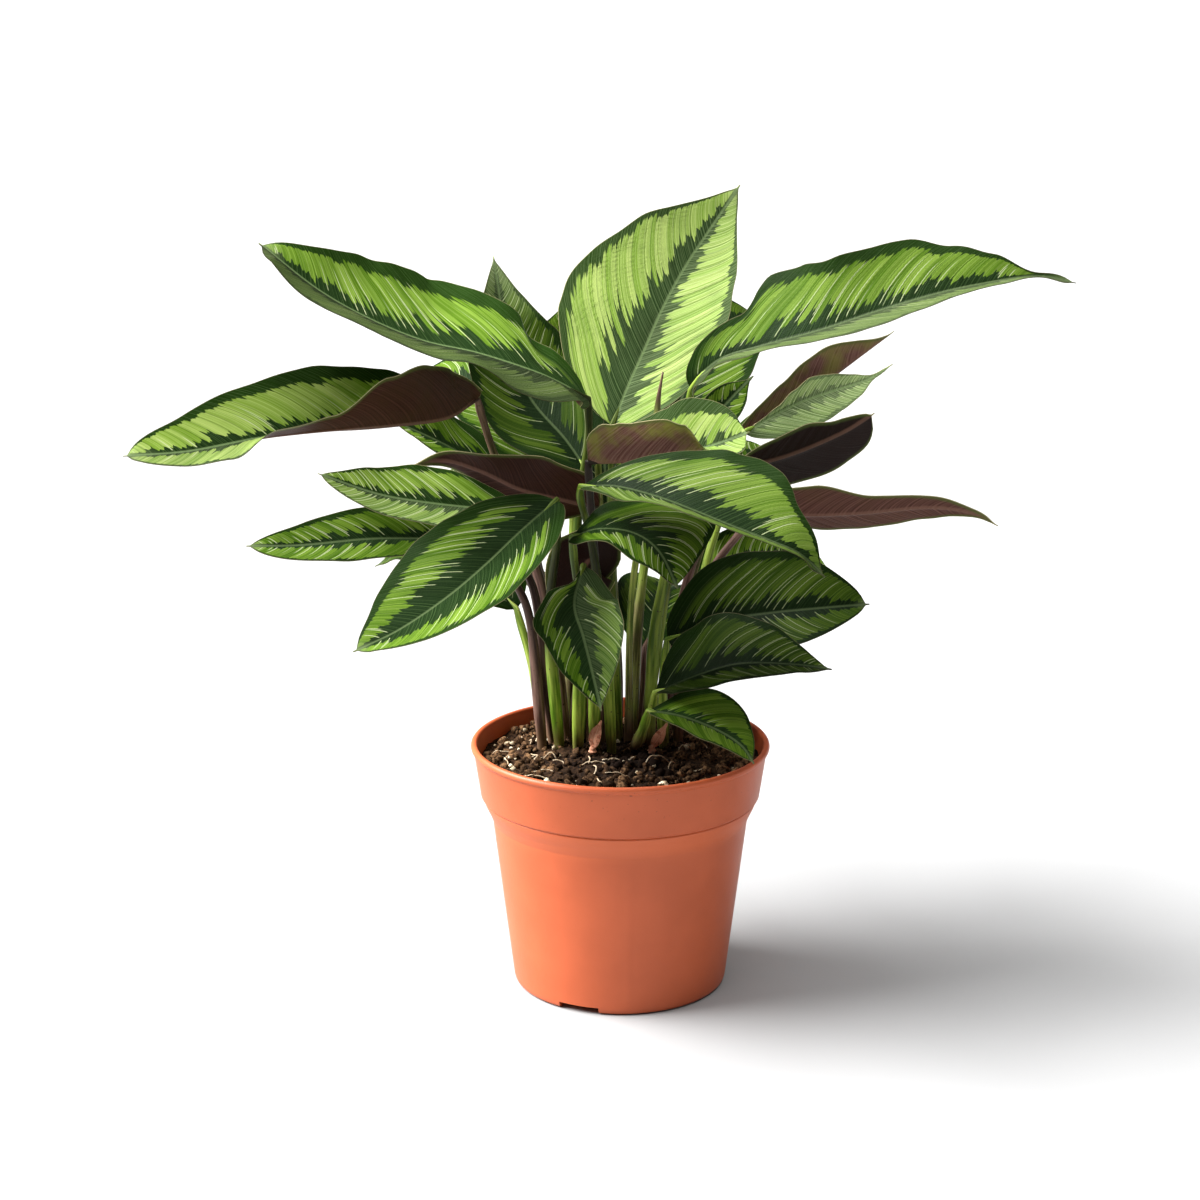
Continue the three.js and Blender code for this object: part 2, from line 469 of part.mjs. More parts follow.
for (let i = 0; i < DRAINS; i += 1) {
  const angle = 2 * Math.PI * i / DRAINS;
  const x = DRAIN_AT * Math.cos(angle);
  const y = DRAIN_AT * Math.sin(angle);
  pot = pot.subtract(upright(DRAIN_R, 0, FLOOR_Z + 1, x, y, 12));
}
addPiece('pot', pot, POT_COLOUR, 0.5);

// ---- soil, with a plain hole for every stem ----
let soil = turned([
  [0, FLOOR_Z + GAP], [FOOT_R - WALL - 2.2, FLOOR_Z + GAP], [FOOT_R - WALL - 0.8, FLOOR_Z + 1.4],
  [STEP_R - WALL - 0.5, COLLAR_Z + 1], [STEP_R + 2, COLLAR_Z + 6], [64, COLLAR_Z + 9.3],
  [66.4, SOIL_EDGE_Z], [58, SOIL_EDGE_Z + 1.8], [36, SOIL_TOP_Z - 0.7], [0, SOIL_TOP_Z],
]);
const rooted = [...LEAVES, SPEAR, ...SCALES];
for (const { root: [x, y], wide } of rooted) {
  const stemR = wide < 5 ? STEM_TOP_R : STEM_R;
  const radius = (stemR + GAP) / Math.cos(Math.PI / STEM_SIDES);
  soil = soil.subtract(upright(radius, HOLE_Z, POT_H, x, y, STEM_SIDES));
}
addPiece('soil', soil, SOIL_COLOUR, 0.95);

// ---- leaves, each with its stem as it grew ----
for (const row of LEAVES) {
  const leaf = { ...PLAIN, ...row };
  const solid = bladeSolid(leaf).add(stemSolid(leaf, STEM_R));
  addPiece(leaf.name, solid, TURNED.includes(leaf.name) ? MAROON : GREEN, 0.5);
}
for (const row of SCALES) {
  const scale = { ...PLAIN, ...row };
  addPiece(scale.name, bladeSolid(scale).add(stemSolid(scale, STEM_TOP_R)), DRY_COLOUR, 0.8);
}

const spearRoute = smoothPath([[...SPEAR.root, CLEAR_Z], ...SPEAR.path]);
const spearSteps = 12;
const spearCentres = [vec([...SPEAR.root, ROOT_Z])];
for (let i = 0; i <= spearSteps; i += 1) {
  spearCentres.push(spearRoute.getPointAt(i / spearSteps));
}
const spearRadii = spearCentres.map((_, i) => eased(SPEAR.radii, i / (spearSteps + 1)));
addPiece('new_leaf_spear', tube(spearCentres, spearRadii, 8), SPEAR_COLOUR, 0.5);

export default part;
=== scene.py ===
"""Potted calathea: a bushy striped foliage plant in a round nursery pot.

Sizes are in millimetres in the tables and in metres in the scene; +Z is up and the front
looks toward -Y. The leaves keep the form of the solids that they replace.
"""

import math
import random

import bpy
import numpy as np
from mathutils import Matrix, Vector, noise


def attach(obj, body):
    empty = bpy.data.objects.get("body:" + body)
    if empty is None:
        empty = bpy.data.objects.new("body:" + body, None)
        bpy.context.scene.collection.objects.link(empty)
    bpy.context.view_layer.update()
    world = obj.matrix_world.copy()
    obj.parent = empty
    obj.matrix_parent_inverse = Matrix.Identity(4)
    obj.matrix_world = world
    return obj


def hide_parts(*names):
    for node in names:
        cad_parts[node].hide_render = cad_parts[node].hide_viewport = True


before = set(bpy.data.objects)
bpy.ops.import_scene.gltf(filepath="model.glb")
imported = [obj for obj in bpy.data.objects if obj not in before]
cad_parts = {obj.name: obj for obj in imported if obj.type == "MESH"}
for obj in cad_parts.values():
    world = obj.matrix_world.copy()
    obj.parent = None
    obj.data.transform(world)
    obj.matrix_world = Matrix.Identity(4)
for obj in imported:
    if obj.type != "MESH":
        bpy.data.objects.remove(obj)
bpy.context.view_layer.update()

MM = 0.001
SEED = 7

# ---- pot ----
RIM_R = 70.9                # outer radius of the lip
POT_H = 118.9
COLLAR_Z = 82.4             # height of the step under the collar
COLLAR_R = 66
STEP_R = 60.7               # body radius at that step
FOOT_R = 51
WALL = 1.5
FLOOR_Z = 5.5
RECESS_Z = 2.5
RECESS_R = 42
BOSS_R = 9
ROUNDING = 0.7              # radius of the profile's corners
SEAM_TURN = -86             # where the mould's seam runs down, in degrees
SEAM_H = 0.14
SEAM_W = 0.9
NOTCHES = 3
NOTCH_W = 20
NOTCH_H = 3.4
NOTCH_TURN = -113
DRAINS = 5
DRAIN_R = 4
DRAIN_AT = 28
POT_SIDES = 192
SHARP = 32                  # edges of more degrees than this stay sharp
POT_PROFILE = [             # radius and height, from the underside round the lip to the floor
    (0, 0), (BOSS_R, 0), (BOSS_R + 0.6, RECESS_Z), (RECESS_R, RECESS_Z), (RECESS_R + 1, 0),
    (FOOT_R - 2.2, 0), (FOOT_R - 0.6, 0.7), (FOOT_R, 2.4), (STEP_R, COLLAR_Z - 1),
    (STEP_R + 1.6, COLLAR_Z + 3), (STEP_R + 3.2, COLLAR_Z + 6.2), (COLLAR_R - 0.8, COLLAR_Z + 9.4),
    (COLLAR_R - 1.3, COLLAR_Z + 10.2), (COLLAR_R + 0.2, COLLAR_Z + 10.8),
    (RIM_R - 1.4, POT_H - 3.5), (RIM_R - 0.3, POT_H - 2.8), (RIM_R, POT_H - 1.5),
    (RIM_R - 0.7, POT_H - 0.3), (RIM_R - 2, POT_H), (RIM_R - 3, POT_H - 0.6),
    (RIM_R - 3.3, POT_H - 2.4), (COLLAR_R - WALL, COLLAR_Z + 9.2),
    (STEP_R + 1.4, COLLAR_Z + 5.8), (STEP_R - WALL, COLLAR_Z + 0.6),
    (FOOT_R - WALL - 0.1, FLOOR_Z + 1.2), (FOOT_R - WALL - 1.6, FLOOR_Z), (0, FLOOR_Z),
]

# ---- soil ----
SOIL_EDGE_Z = 111.4
SOIL_TOP_Z = 115.5
SOIL_R = 66.3
MOUND_R = 18                # the mound is level up to here
MOUND_END = 62              # and ends here
LUMPS_H = 2.0
FINE_LUMPS_H = 0.7
SETTLED = 1.2               # how much lower the lumpy mix lies
SOIL_SIDES = 170
SOIL_RINGS = 60
SOIL_PROFILE = [            # its sides in the pot, up to where the lumpy top starts
    (FOOT_R - WALL - 2.2, FLOOR_Z + 0.3), (FOOT_R - WALL - 0.8, FLOOR_Z + 1.4),
    (STEP_R - WALL - 0.5, COLLAR_Z + 1), (STEP_R + 0.8, COLLAR_Z + 6), (64, COLLAR_Z + 9.3),
]
SOIL_SHADE_AT = (2, -18)          # painted shade: the mix is darkened in front of the stems, where leaves shade it
SOIL_SHADE_R = 30
CRUMBS = 1300
CRUMB_SIZES = (0.35, 3.0)   # smallest as a share of the largest, and the largest radius
PERLITES = 110
PERLITE_SIZES = (0.5, 2.0)
PERLITE_SPOTS = [(-44, 18, 20), (-33, -44, 12), (-50, -10, 12), (12, -52, 10), (34, -40, 12)]
STRAY = 0.12                # chance that a grain lies away from the spots
LUMP_RINGS = 3
LUMP_SIDES = 7
FIBRES = 34
FIBRE_R = (0.14, 0.34)
FIBRE_REACH = 60            # fibres start within this radius
FIBRE_STEP = 1.7

# ---- stems ----
ROOT_Z = 100                # lower end of every stem
CLEAR_Z = 116               # stems rise straight to here, then bend
STEM_R = 2.5
STEM_TOP_R = 1.5
SHEATH = 0.6                # swelling of the sheath round the stem's lower half
KNEE = 0.35                 # swelling of the joint below the blade
KNEE_AT = 8                 # how far that joint is below the blade
KNEE_L = 6.5
STEM_SIDES = 16
STEM_STEP = 3.0
STEM_KINDS = 17             # number of different stem patterns
TAIL_SINK = 7.5             # slope of the stem's end, which runs on under the blade
# Shares of the midrib that this end reaches, and its radii there
STEM_TAIL = [(0.02, 1.35), (0.04, 1.1), (0.06, 0.85), (0.08, 0.5)]
CORE_AT = (-16, -14)        # the stems are in deep shade round this line
CORE_R = 40
CORE_LOW = 138              # from this height
CORE_HIGH = 182             # fully from this one

# ---- blades ----
THREAD = 2.5                # length of the thread that a blade's tip ends in
THREAD_W = 0.3              # and its half width
TIGHTEN_W = 8               # below this half width a fold opens flat
ROW = 1.8                   # distance between a blade's cross-sections
COLUMN = 1.5                # and between its columns
RIM_COLUMNS = (0.6, 0.25, 0)  # distance of the last ones from the margin
THICK = 0.5                 # thickness at the midrib
GROOVE = 0.25               # depth of the groove over the midrib
VEIN_LEAN = 1.2             # how far a side vein runs toward the tip, in half widths
FEATHER = 4.4               # mean distance between the feathers of the pattern
HAIR = 1.4                  # and between its fine veins
KEY_SHIFT = 91.0            # shift along the pattern that makes two leaves differ
# Seeded waves, as length and height
OUTLINE_WAVES = [(37, 0.012), (19, 0.006)]    # height as a share of the half width
PLEAT_WAVES = [(7.1, 0.6), (4.3, 0.4)]
MARGIN_WAVES = [(29, 0.245), (17, 0.105)]

# A row holds a leaf's name, where its stem rises, the stem's bends, the midrib, the turn and
# rise in degrees of the way that the upper face looks, the half width, and how the leaf
# differs from the usual one. Lists run from base to tip. A pair is for the left and the
# right half, and one number is for both.
#   widest, full, drip: where the outline is widest, how full it is, how drawn out the tip is
#   fold, curl: pairs, degrees that a half is folded up and curled
#   half: a pair, factor on the width
#   wave: height, number and phase of the margin's waves
#   lime: tone of the band, dark 0 to 1.4; low values also paint shade, and values
#     over 0.95 paint a glow of light shining through the leaf
#   lines: how far the cream lines run out
#   dark, margin: pairs, share that stays dark at the midrib and at the margin
#   pale, light: pairs, how much painted sheen greys it, and a factor on all its colours
#     that paints light and shade
#   low: how far down the band runs
#   pleat: height of the pleats
#   under, blotch: painted light and shade of the underside, and green spots on it
#   stem: green 0 to mauve 1
PAIRS = ("fold", "curl", "half", "dark", "margin", "pale", "light")
USUAL = dict(
    widest=0.42, full=0.8, drip=0.35, fold=0, curl=0, half=1, wave=[0, 2, 0],
    lime=0.9, lines=0.9, dark=[[0.2, 0.18, 0.12], [0.2, 0.18, 0.12]], margin=0.08, pale=0,
    light=1, low=0, pleat=0.22, under=1, blotch=0, stem=0.5)


def row(name, root, stalk, rib, looks, wide, **other):
    """A leaf, with a value for both halves wherever a pair is due."""
    leaf = {**USUAL, **other}
    leaf.update(name=name, root=root, stalk=stalk, rib=rib, looks=looks, wide=wide)
    for key in PAIRS:
        if not isinstance(leaf[key], list):
            leaf[key] = [leaf[key]] * 2
    return leaf


LEAVES = [
    row("leaf_upper_left", [-17, 14], [[-19, 12, 165], [-20, 20, 221], [-15, 12, 261]],
        [[-15, 0, 283], [-27, -10, 292], [-40, -22, 300], [-64, -34, 310], [-87, -44, 317],
         [-110, -52, 328], [-132, -58, 342], [-156, -60, 362]],
        [[-5, 58], [-10, 58], [-15, 55]], 36, widest=0.48, full=0.6, drip=0.15,
        fold=[[2, 12, 28, 34, 36], 12], half=[1, [1.1, 1.1, 1.05, 1, 1]], lime=1.05, lines=0.5,
        margin=[0.03, [0.2, 0.18, 0.15]], pale=[0.7, 0], light=[0.22, 0.92], stem=0.3),
    row("leaf_left_rolled", [-26, 17],
        [[-32, 18, 163], [-44, 25, 211], [-58, 19, 250], [-64, 10, 272]],
        [[-66, 2, 283], [-79, -18, 278], [-102, -42, 279], [-133, -62, 280], [-158, -72, 279],
         [-187, -80, 275], [-214, -85, 274]],
        [[0, 35], [0, 35], [0, 40]], 30, widest=0.5, full=0.52, drip=0,
        fold=[[95, 100, 100, 100, 95, 80, 30, 20, 20], 15], curl=[[40, 40, 20, 0, 0, 0], 10],
        half=[[1.35, 1.2, 1.15, 0.97, 0.35, 0.33, 0.5, 0.5, 0.5], [0.95, 0.9, 0.95, 0.85, 0.75]],
        lime=1.3, lines=0.5, dark=0.12, margin=[0.03, [0.18, 0.16, 0.1]], pale=[0.4, 0],
        light=[0.36, [0.28, 0.4, 0.58, 0.7]], under=0.8, stem=0.9),
    row("leaf_left_tucked", [-33, 20], [[-36, 26, 181], [-45, 32, 214]],
        [[-55, 36, 238], [-69, 28, 248], [-84, 17, 259], [-106, 6, 272]],
        [[-20, 60], [-20, 55]], 23, fold=15, half=[[0.4, 0.6, 0.9, 1], 1], lime=0.8, lines=1,
        light=0.5, stem=0.8),
    row("leaf_left_turned", [-8, 8], [[-9, 9, 174]],
        [[-10, 12, 229], [-28, 5, 235], [-47, 0, 241], [-64, -4, 250], [-81, -8, 256],
         [-97, -12, 254]],
        [[170, 25], [170, 25], [170, 20]], 19, half=[[1.4, 1.2, 0.75, 0.5], [0.9, 0.8, 0.5, 0.5]],
        wave=[2, 2.5, 0], light=0.6, under=0.75, stem=0.6),
    row("leaf_left_middle", [-32, 11], [[-39, 2, 184], [-45, -8, 208]],
        [[-47, -14, 234], [-64, -24, 237], [-90, -37, 243], [-110, -46, 249], [-134, -55, 260]],
        [[0, 58], [0, 55], [0, 50]], 20, widest=0.48, full=0.52, drip=0, fold=[8, 15],
        half=[[1, 0.9, 0.75, 0.65], [1, 1, 0.95, 0.75, 0.4]], lime=1.1, lines=1.2,
        margin=[0.02, 0.08], pale=[0.4, 0], light=[0.8, 1], stem=0.9),
    row("leaf_left_low", [-37, 6], [[-42, -2, 177], [-50, -14, 203]],
        [[-55, -22, 222], [-86, -37, 226], [-112, -50, 229], [-142, -62, 229], [-165, -67, 230]],
        [[0, 58], [0, 58], [0, 60]], 18, widest=0.46, full=0.58, drip=0, fold=[5, 20],
        half=[[0.5, 0.65, 0.85, 1], [0.95, 0.9, 0.8]], lime=0.95, lines=0.7, margin=[0.02, 0.12],
        light=[0.45, 0.42], stem=1),
    row("leaf_front_left", [-29, 4], [[-33, -12, 181], [-29, -32, 224]],
        [[-29, -42, 245], [-44, -58, 235], [-60, -75, 223], [-76, -88, 212], [-96, -101, 201],
         [-115, -110, 194]],
        [[-20, 45], [-20, 50], [-25, 50]], 32, widest=0.48, full=0.65, drip=0.1,
        fold=[22, [25, 20, 10, 10]], curl=[0, -10], half=[1, [0.9, 0.95, 1.02, 1.05]], lime=1,
        lines=0.6, dark=[[0.4, 0.42, 0.28], [0.34, 0.34, 0.2]], margin=[0.06, 0.16],
        light=[0.38, 0.34], stem=0.2),
    row("leaf_behind_left", [-12, 22], [[-13, 26, 181]],
        [[-15, 32, 241], [-26, 44, 255], [-43, 60, 272], [-54, 72, 296], [-58, 78, 317],
         [-61, 78, 338]],
        [[0, 25], [0, 30], [0, 30]], 28, fold=15, half=[0.9, 1.05], lime=0.5, lines=0.8,
        pale=[[0, 0, 0, 1], [0, 0, 0, 1]], light=[[0.2, 0.2, 0.2, 1.1], [0.24, 0.24, 0.24, 1.1]]),
    row("leaf_behind_top", [-4, 26], [[-8, 38, 187]],
        [[-11, 57, 252], [-20, 74, 271], [-28, 90, 290], [-26, 98, 314]],
        [[0, 30], [0, 30]], 27, fold=15, lime=0.6, light=0.7),
    row("leaf_top", [-1, 15], [[-4, 14, 184]],
        [[-4, 13, 268], [3, 22, 284], [11, 32, 300], [19, 40, 317], [29, 46, 335], [41, 50, 353],
         [56, 52, 375]],
        [[10, 15], [10, 15], [10, 12]], 42, widest=0.4, fold=[5, 22],
        half=[[1.05, 1.12, 1.04, 1.12], [0.72, 0.72, 0.8, 0.95]], wave=[1.5, 1.5, 0], lime=1.4,
        lines=0, dark=[[0.32, 0.24, 0.15, 0.08], [0.24, 0.14, 0.08, 0.04]],
        margin=[0.06, [0.1, 0.08, 0.05]], pale=[0.25, 0.55], light=[1.05, 0.82], low=0.35, pleat=0.5,
        stem=0.1),
    row("leaf_upper_right", [14, 9], [[16, 8, 166], [22, 6, 205], [28, 2, 259]],
        [[32, -5, 288], [37, -10, 297], [47, -14, 305], [64, -20, 311], [88, -28, 319],
         [112, -33, 328], [136, -37, 336], [156, -39, 341], [181, -40, 345], [199, -40, 342]],
        [[10, 50], [8, 48], [5, 45]], 34, full=0.65, drip=0.3, fold=[18, 42], curl=[5, 0],
        half=[[0.5, 0.55, 0.6, 1.05, 0.95, 0.87, 0.87, 0.96, 0.82, 0.7, 0.15, 0.6],
              [0.9, 0.9, 0.9, 0.9, 0.9, 0.88, 0.85, 0.8, 0.7, 0.5, 0.15, 0.6]], wave=[1.5, 2.5, 0],
        lime=1.05, lines=0.55, dark=[0.16, 0.22], margin=[0.12, 0.03], pale=[0, 0.8],
        light=[0.35, 0.26], pleat=0.35, stem=0.1),
    row("leaf_right_folded", [21, 25], [[29, 32, 169], [40, 44, 206]],
        [[55, 54, 254], [82, 66, 266], [107, 78, 282], [134, 88, 300]],
        [[200, 60], [200, 55]], 20, fold=[30, 50], curl=[10, 0], half=[1, [0.5, 0.7, 0.9, 0.8]],
        light=0.6, under=1.5, blotch=0.6, stem=0.6),
    row("leaf_right_pale", [28, 21], [[34, 24, 161], [42, 32, 199], [54, 42, 238]],
        [[59, 42, 259], [86, 54, 271], [119, 66, 280], [132, 70, 287]],
        [[10, 20], [20, 20]], 13, fold=10,
        half=[[0.1, 0.15, 0.25, 0.5, 0.75, 0.7, 0.6, 0.3, 0.6],
              [1.1, 1.1, 1.05, 1.05, 1, 0.9, 0.8, 0.3, 0.6]], lime=0.9, lines=0.3, pale=1, light=1.1,
        stem=0.4),
    row("leaf_right_blunt", [21, 15], [[26, 20, 162], [35, 23, 201]],
        [[54, 24, 245], [80, 33, 250], [105, 40, 259], [121, 44, 268]],
        [[190, 30], [190, 20]], 22, widest=0.5, full=0.42, drip=0, fold=10,
        half=[[1.1, 1.1, 1, 1.1, 1.3], [0.5, 0.55, 0.55, 0.4, 0.3]], light=0.5, under=0.25, stem=0.9),
    row("leaf_right_turned", [28, 12], [[30, 12, 160], [42, 12, 197]],
        [[64, 8, 228], [87, 3, 228], [111, -2, 230], [142, -8, 234], [163, -8, 231], [174, -8, 225]],
        [[180, 35], [180, 30]], 18, widest=0.35, fold=[10, 0], half=[0.75, [1.4, 1.1, 0.6, 0.6, 0.6]],
        light=0.6, under=1.2, stem=0.8),
    row("leaf_centre_rolled", [-14, 5], [[-11, -6, 180], [-14, -20, 240]],
        [[-15, -26, 259], [4, -32, 261], [23, -38, 264], [39, -40, 269], [57, -42, 276]],
        [[15, 40], [15, 40], [15, 40]], 26, widest=0.52, full=0.38, drip=0,
        fold=[[25, 25, 15], [105, 105, 105, 105, 105, 105, 100, 25, 5, 5]],
        curl=[0, [20, 20, 20, 20, 0]],
        half=[[0.7, 0.7, 0.82, 1, 1.1], [1.3, 1.1, 0.9, 0.8, 0.8, 0.8, 0.7, 0.35, 0.6, 0.9]],
        lime=1.4, lines=0.2, dark=0.05, margin=[0.24, 0.05], pale=[0.3, 0.4], light=[0.68, 0.56],
        under=1.5, blotch=1, stem=0.7),
    row("leaf_front_right", [-4, -2], [[-7, -14, 172], [-13, -30, 221], [-18, -48, 246]],
        [[-18, -55, 254], [-3, -68, 257], [15, -80, 255], [31, -90, 251], [47, -98, 246],
         [63, -104, 241], [75, -106, 236], [86, -106, 226]],
        [[20, 50], [20, 45], [20, 40]], 35, widest=0.5, fold=[20, [20, 30, 45, 50, 50]],
        curl=[-10, 0], half=[[0.68, 0.76, 0.95, 1.12, 1.12], 0.75], lime=1.1, lines=0.7,
        dark=[[0.3, 0.26, 0.16, 0.1], 0.2], margin=[0.14, 0.03], pale=[0, 0.2],
        light=[[0.2, 0.26, 0.32], 0.25], stem=0.1),
    row("leaf_front_centre", [-12, -3], [[-13, -18, 168], [-20, -40, 208]],
        [[-22, -50, 230], [-10, -60, 236], [5, -72, 237], [16, -82, 231], [24, -88, 216]],
        [[20, 50], [20, 45], [20, 20]], 23, widest=0.5, full=0.5, drip=0.5, fold=[0, 20],
        half=[[0.8, 1, 1.3, 1.8, 1.9], 0.8], wave=[2, 2, 0], lime=0.7, lines=1.4, light=[0.36, 0.42],
        stem=0.1),
    row("leaf_front_hanging", [-20, -3], [[-19, -24, 161], [-17, -42, 199]],
        [[-17, -51, 217], [-21, -64, 203], [-17, -75, 191], [-13, -83, 177], [-9, -86, 160]],
        [[0, 25], [0, 15], [0, 10]], 20, widest=0.45, full=0.65, fold=15,
        half=[[0.9, 1.05, 1, 0.85, 0.85], [0.15, 0.2, 0.75, 1, 0.9, 0.85, 0.85, 0.9, 1]],
        wave=[1.5, 2, 0], lime=0.65, lines=1.6, dark=[0.24, 0.3], margin=[0.02, 0.12], pale=[0.35, 0],
        light=[0.66, 0.56], pleat=0.3, stem=0.1),
    row("leaf_low_right_upper", [21, 6], [[20, 3, 143]],
        [[22, -2, 169], [46, -6, 179], [69, -14, 185], [92, -20, 189], [114, -24, 192]],
        [[10, 45], [10, 45]], 32, widest=0.45, full=0.55, drip=0.2, fold=[25, 10],
        half=[[0.7, 0.92, 0.95, 1.05], [0.6, 0.6, 0.75, 0.8]], lime=0.6, lines=0.8,
        light=[0.17, 0.16], stem=0.2),
    row("leaf_low_right_middle", [13, 2], [[14, -8, 130]],
        [[16, -22, 149], [36, -40, 163], [54, -50, 171], [76, -58, 173], [94, -62, 172]],
        [[10, 50], [10, 50]], 25, fold=[15, 30], half=[[1.6, 1.1, 1, 1.1], [0.4, 0.8, 0.9, 0.9]],
        lime=0.5, lines=1.1, light=[0.2, 0.1], stem=0.3),
    row("leaf_low_right_bottom", [7, -3], [[10, -14, 127]],
        [[13, -28, 142], [27, -39, 143], [43, -50, 140], [54, -58, 135], [60, -60, 127]],
        [[30, 45], [30, 40]], 18, full=0.65, drip=0.2, fold=10,
        half=[[0.5, 1.1, 1.1, 1.05, 1.2], [0.35, 0.45, 0.7, 1]], lime=0.65, lines=0.15,
        dark=[0.12, 0.06], margin=[0.03, 0.02], light=[[0.45, 0.8, 0.7, 0.4], [0.45, 0.5, 0.55, 0.6]],
        pleat=0.1, stem=0.3),
    row("leaf_right_inner", [12, 17], [[19, 14, 174], [28, 12, 223]],
        [[37, 12, 265], [44, 16, 272], [53, 21, 281], [62, 26, 289]],
        [[20, 40], [20, 40]], 9, fold=15, lime=0.7, lines=0.5, light=0.35),
    row("leaf_centre_dark", [-22, 8], [[-18, 5, 162]],
        [[-15, 5, 192], [-14, 1, 206], [-17, -3, 204], [-21, -5, 190], [-24, -5, 170]],
        [[190, 0], [190, 0]], 17, fold=10, under=0.3, stem=0.9),
    row("leaf_rear_left_high", [-24, 26], [[-24, 34, 170]],
        [[-22, 44, 232], [-50, 74, 262], [-82, 102, 275], [-112, 126, 264]],
        [[-40, 70], [-45, 65]], 28, fold=12, lime=0.7, light=0.4),
    row("leaf_rear_right_high", [6, 26], [[9, 40, 170]],
        [[20, 66, 245], [40, 108, 283], [60, 144, 298], [80, 170, 288]],
        [[30, 70], [40, 65]], 28, fold=12, lime=0.7, light=0.3),
    row("leaf_rear_middle", [-1, 34], [[-2, 44, 160]],
        [[-4, 54, 205], [-8, 92, 238], [-10, 134, 248], [-10, 174, 228]],
        [[180, 85], [180, 60]], 30, fold=12, lime=0.7, light=0.6),
    row("leaf_rear_left_middle", [-30, 34], [[-34, 44, 160]],
        [[-42, 56, 204], [-70, 92, 224], [-92, 124, 220], [-108, 148, 200]],
        [[-140, 70], [-140, 55]], 27, fold=12, lime=0.7, light=0.6),
    row("leaf_rear_right_middle", [25, 33], [[30, 44, 165]],
        [[38, 58, 212], [62, 94, 232], [82, 126, 230], [94, 150, 212]],
        [[140, 70], [140, 55]], 26, fold=12, lime=0.7, light=0.4),
    row("leaf_rear_left_low", [-36, 27], [[-42, 32, 145]],
        [[-50, 42, 172], [-74, 58, 194], [-98, 74, 196], [-122, 86, 182]],
        [[-60, 75], [-60, 60]], 25, fold=12, lime=0.5, light=0.3),
    row("leaf_rear_right_low", [32, 29], [[35, 33, 145]],
        [[38, 38, 172], [64, 62, 188], [90, 84, 188], [112, 102, 170]],
        [[60, 75], [60, 60]], 25, fold=12),
    row("leaf_rear_short_right", [10, 36], [[11, 41, 132]],
        [[12, 48, 150], [22, 82, 168], [32, 114, 164], [40, 142, 142]],
        [[160, 80], [160, 55]], 24, fold=12, lime=0.5, lines=0.7, light=0.5),
    row("leaf_rear_short_left", [-13, 33], [[-14, 38, 136]],
        [[-16, 46, 158], [-26, 80, 176], [-34, 112, 170], [-40, 138, 148]],
        [[200, 80], [200, 55]], 24, fold=12, lime=0.5, lines=0.7, light=0.5),
]
SPEAR = {
    "root": [4, 9],
    "path": [[5, 2, 187], [13, -6, 246], [16, -8, 270], [17, -8, 284], [19, -8, 297]],
    "radii": [2.4, 1.8, 1.6, 1.7, 2.9, 2.3, 0.5],
}
SCALES = [
    row("dry_scale_front", [-13, -10], [], [[-13, -10, 118], [-12, -11, 124], [-9, -11, 132]],
        [[-30, 10], [-10, 10]], 2.8, fold=10, pleat=0.05, stem=1),
    row("dry_scale_right", [15, -8], [], [[15, -8, 118], [18, -9, 123], [22, -9, 130]],
        [[20, 15], [20, 30]], 2.4, fold=12, pleat=0.05, stem=1),
]


# ---- shader graphs ----
def rgb(red, green, blue):
    """A colour given as it looks, 0 to 255 a channel, as the linear one that nodes take."""
    def linear(c):
        c /= 255
        return c / 12.92 if c <= 0.04045 else ((c + 0.055) / 1.055) ** 2.4
    return (linear(red), linear(green), linear(blue), 1.0)


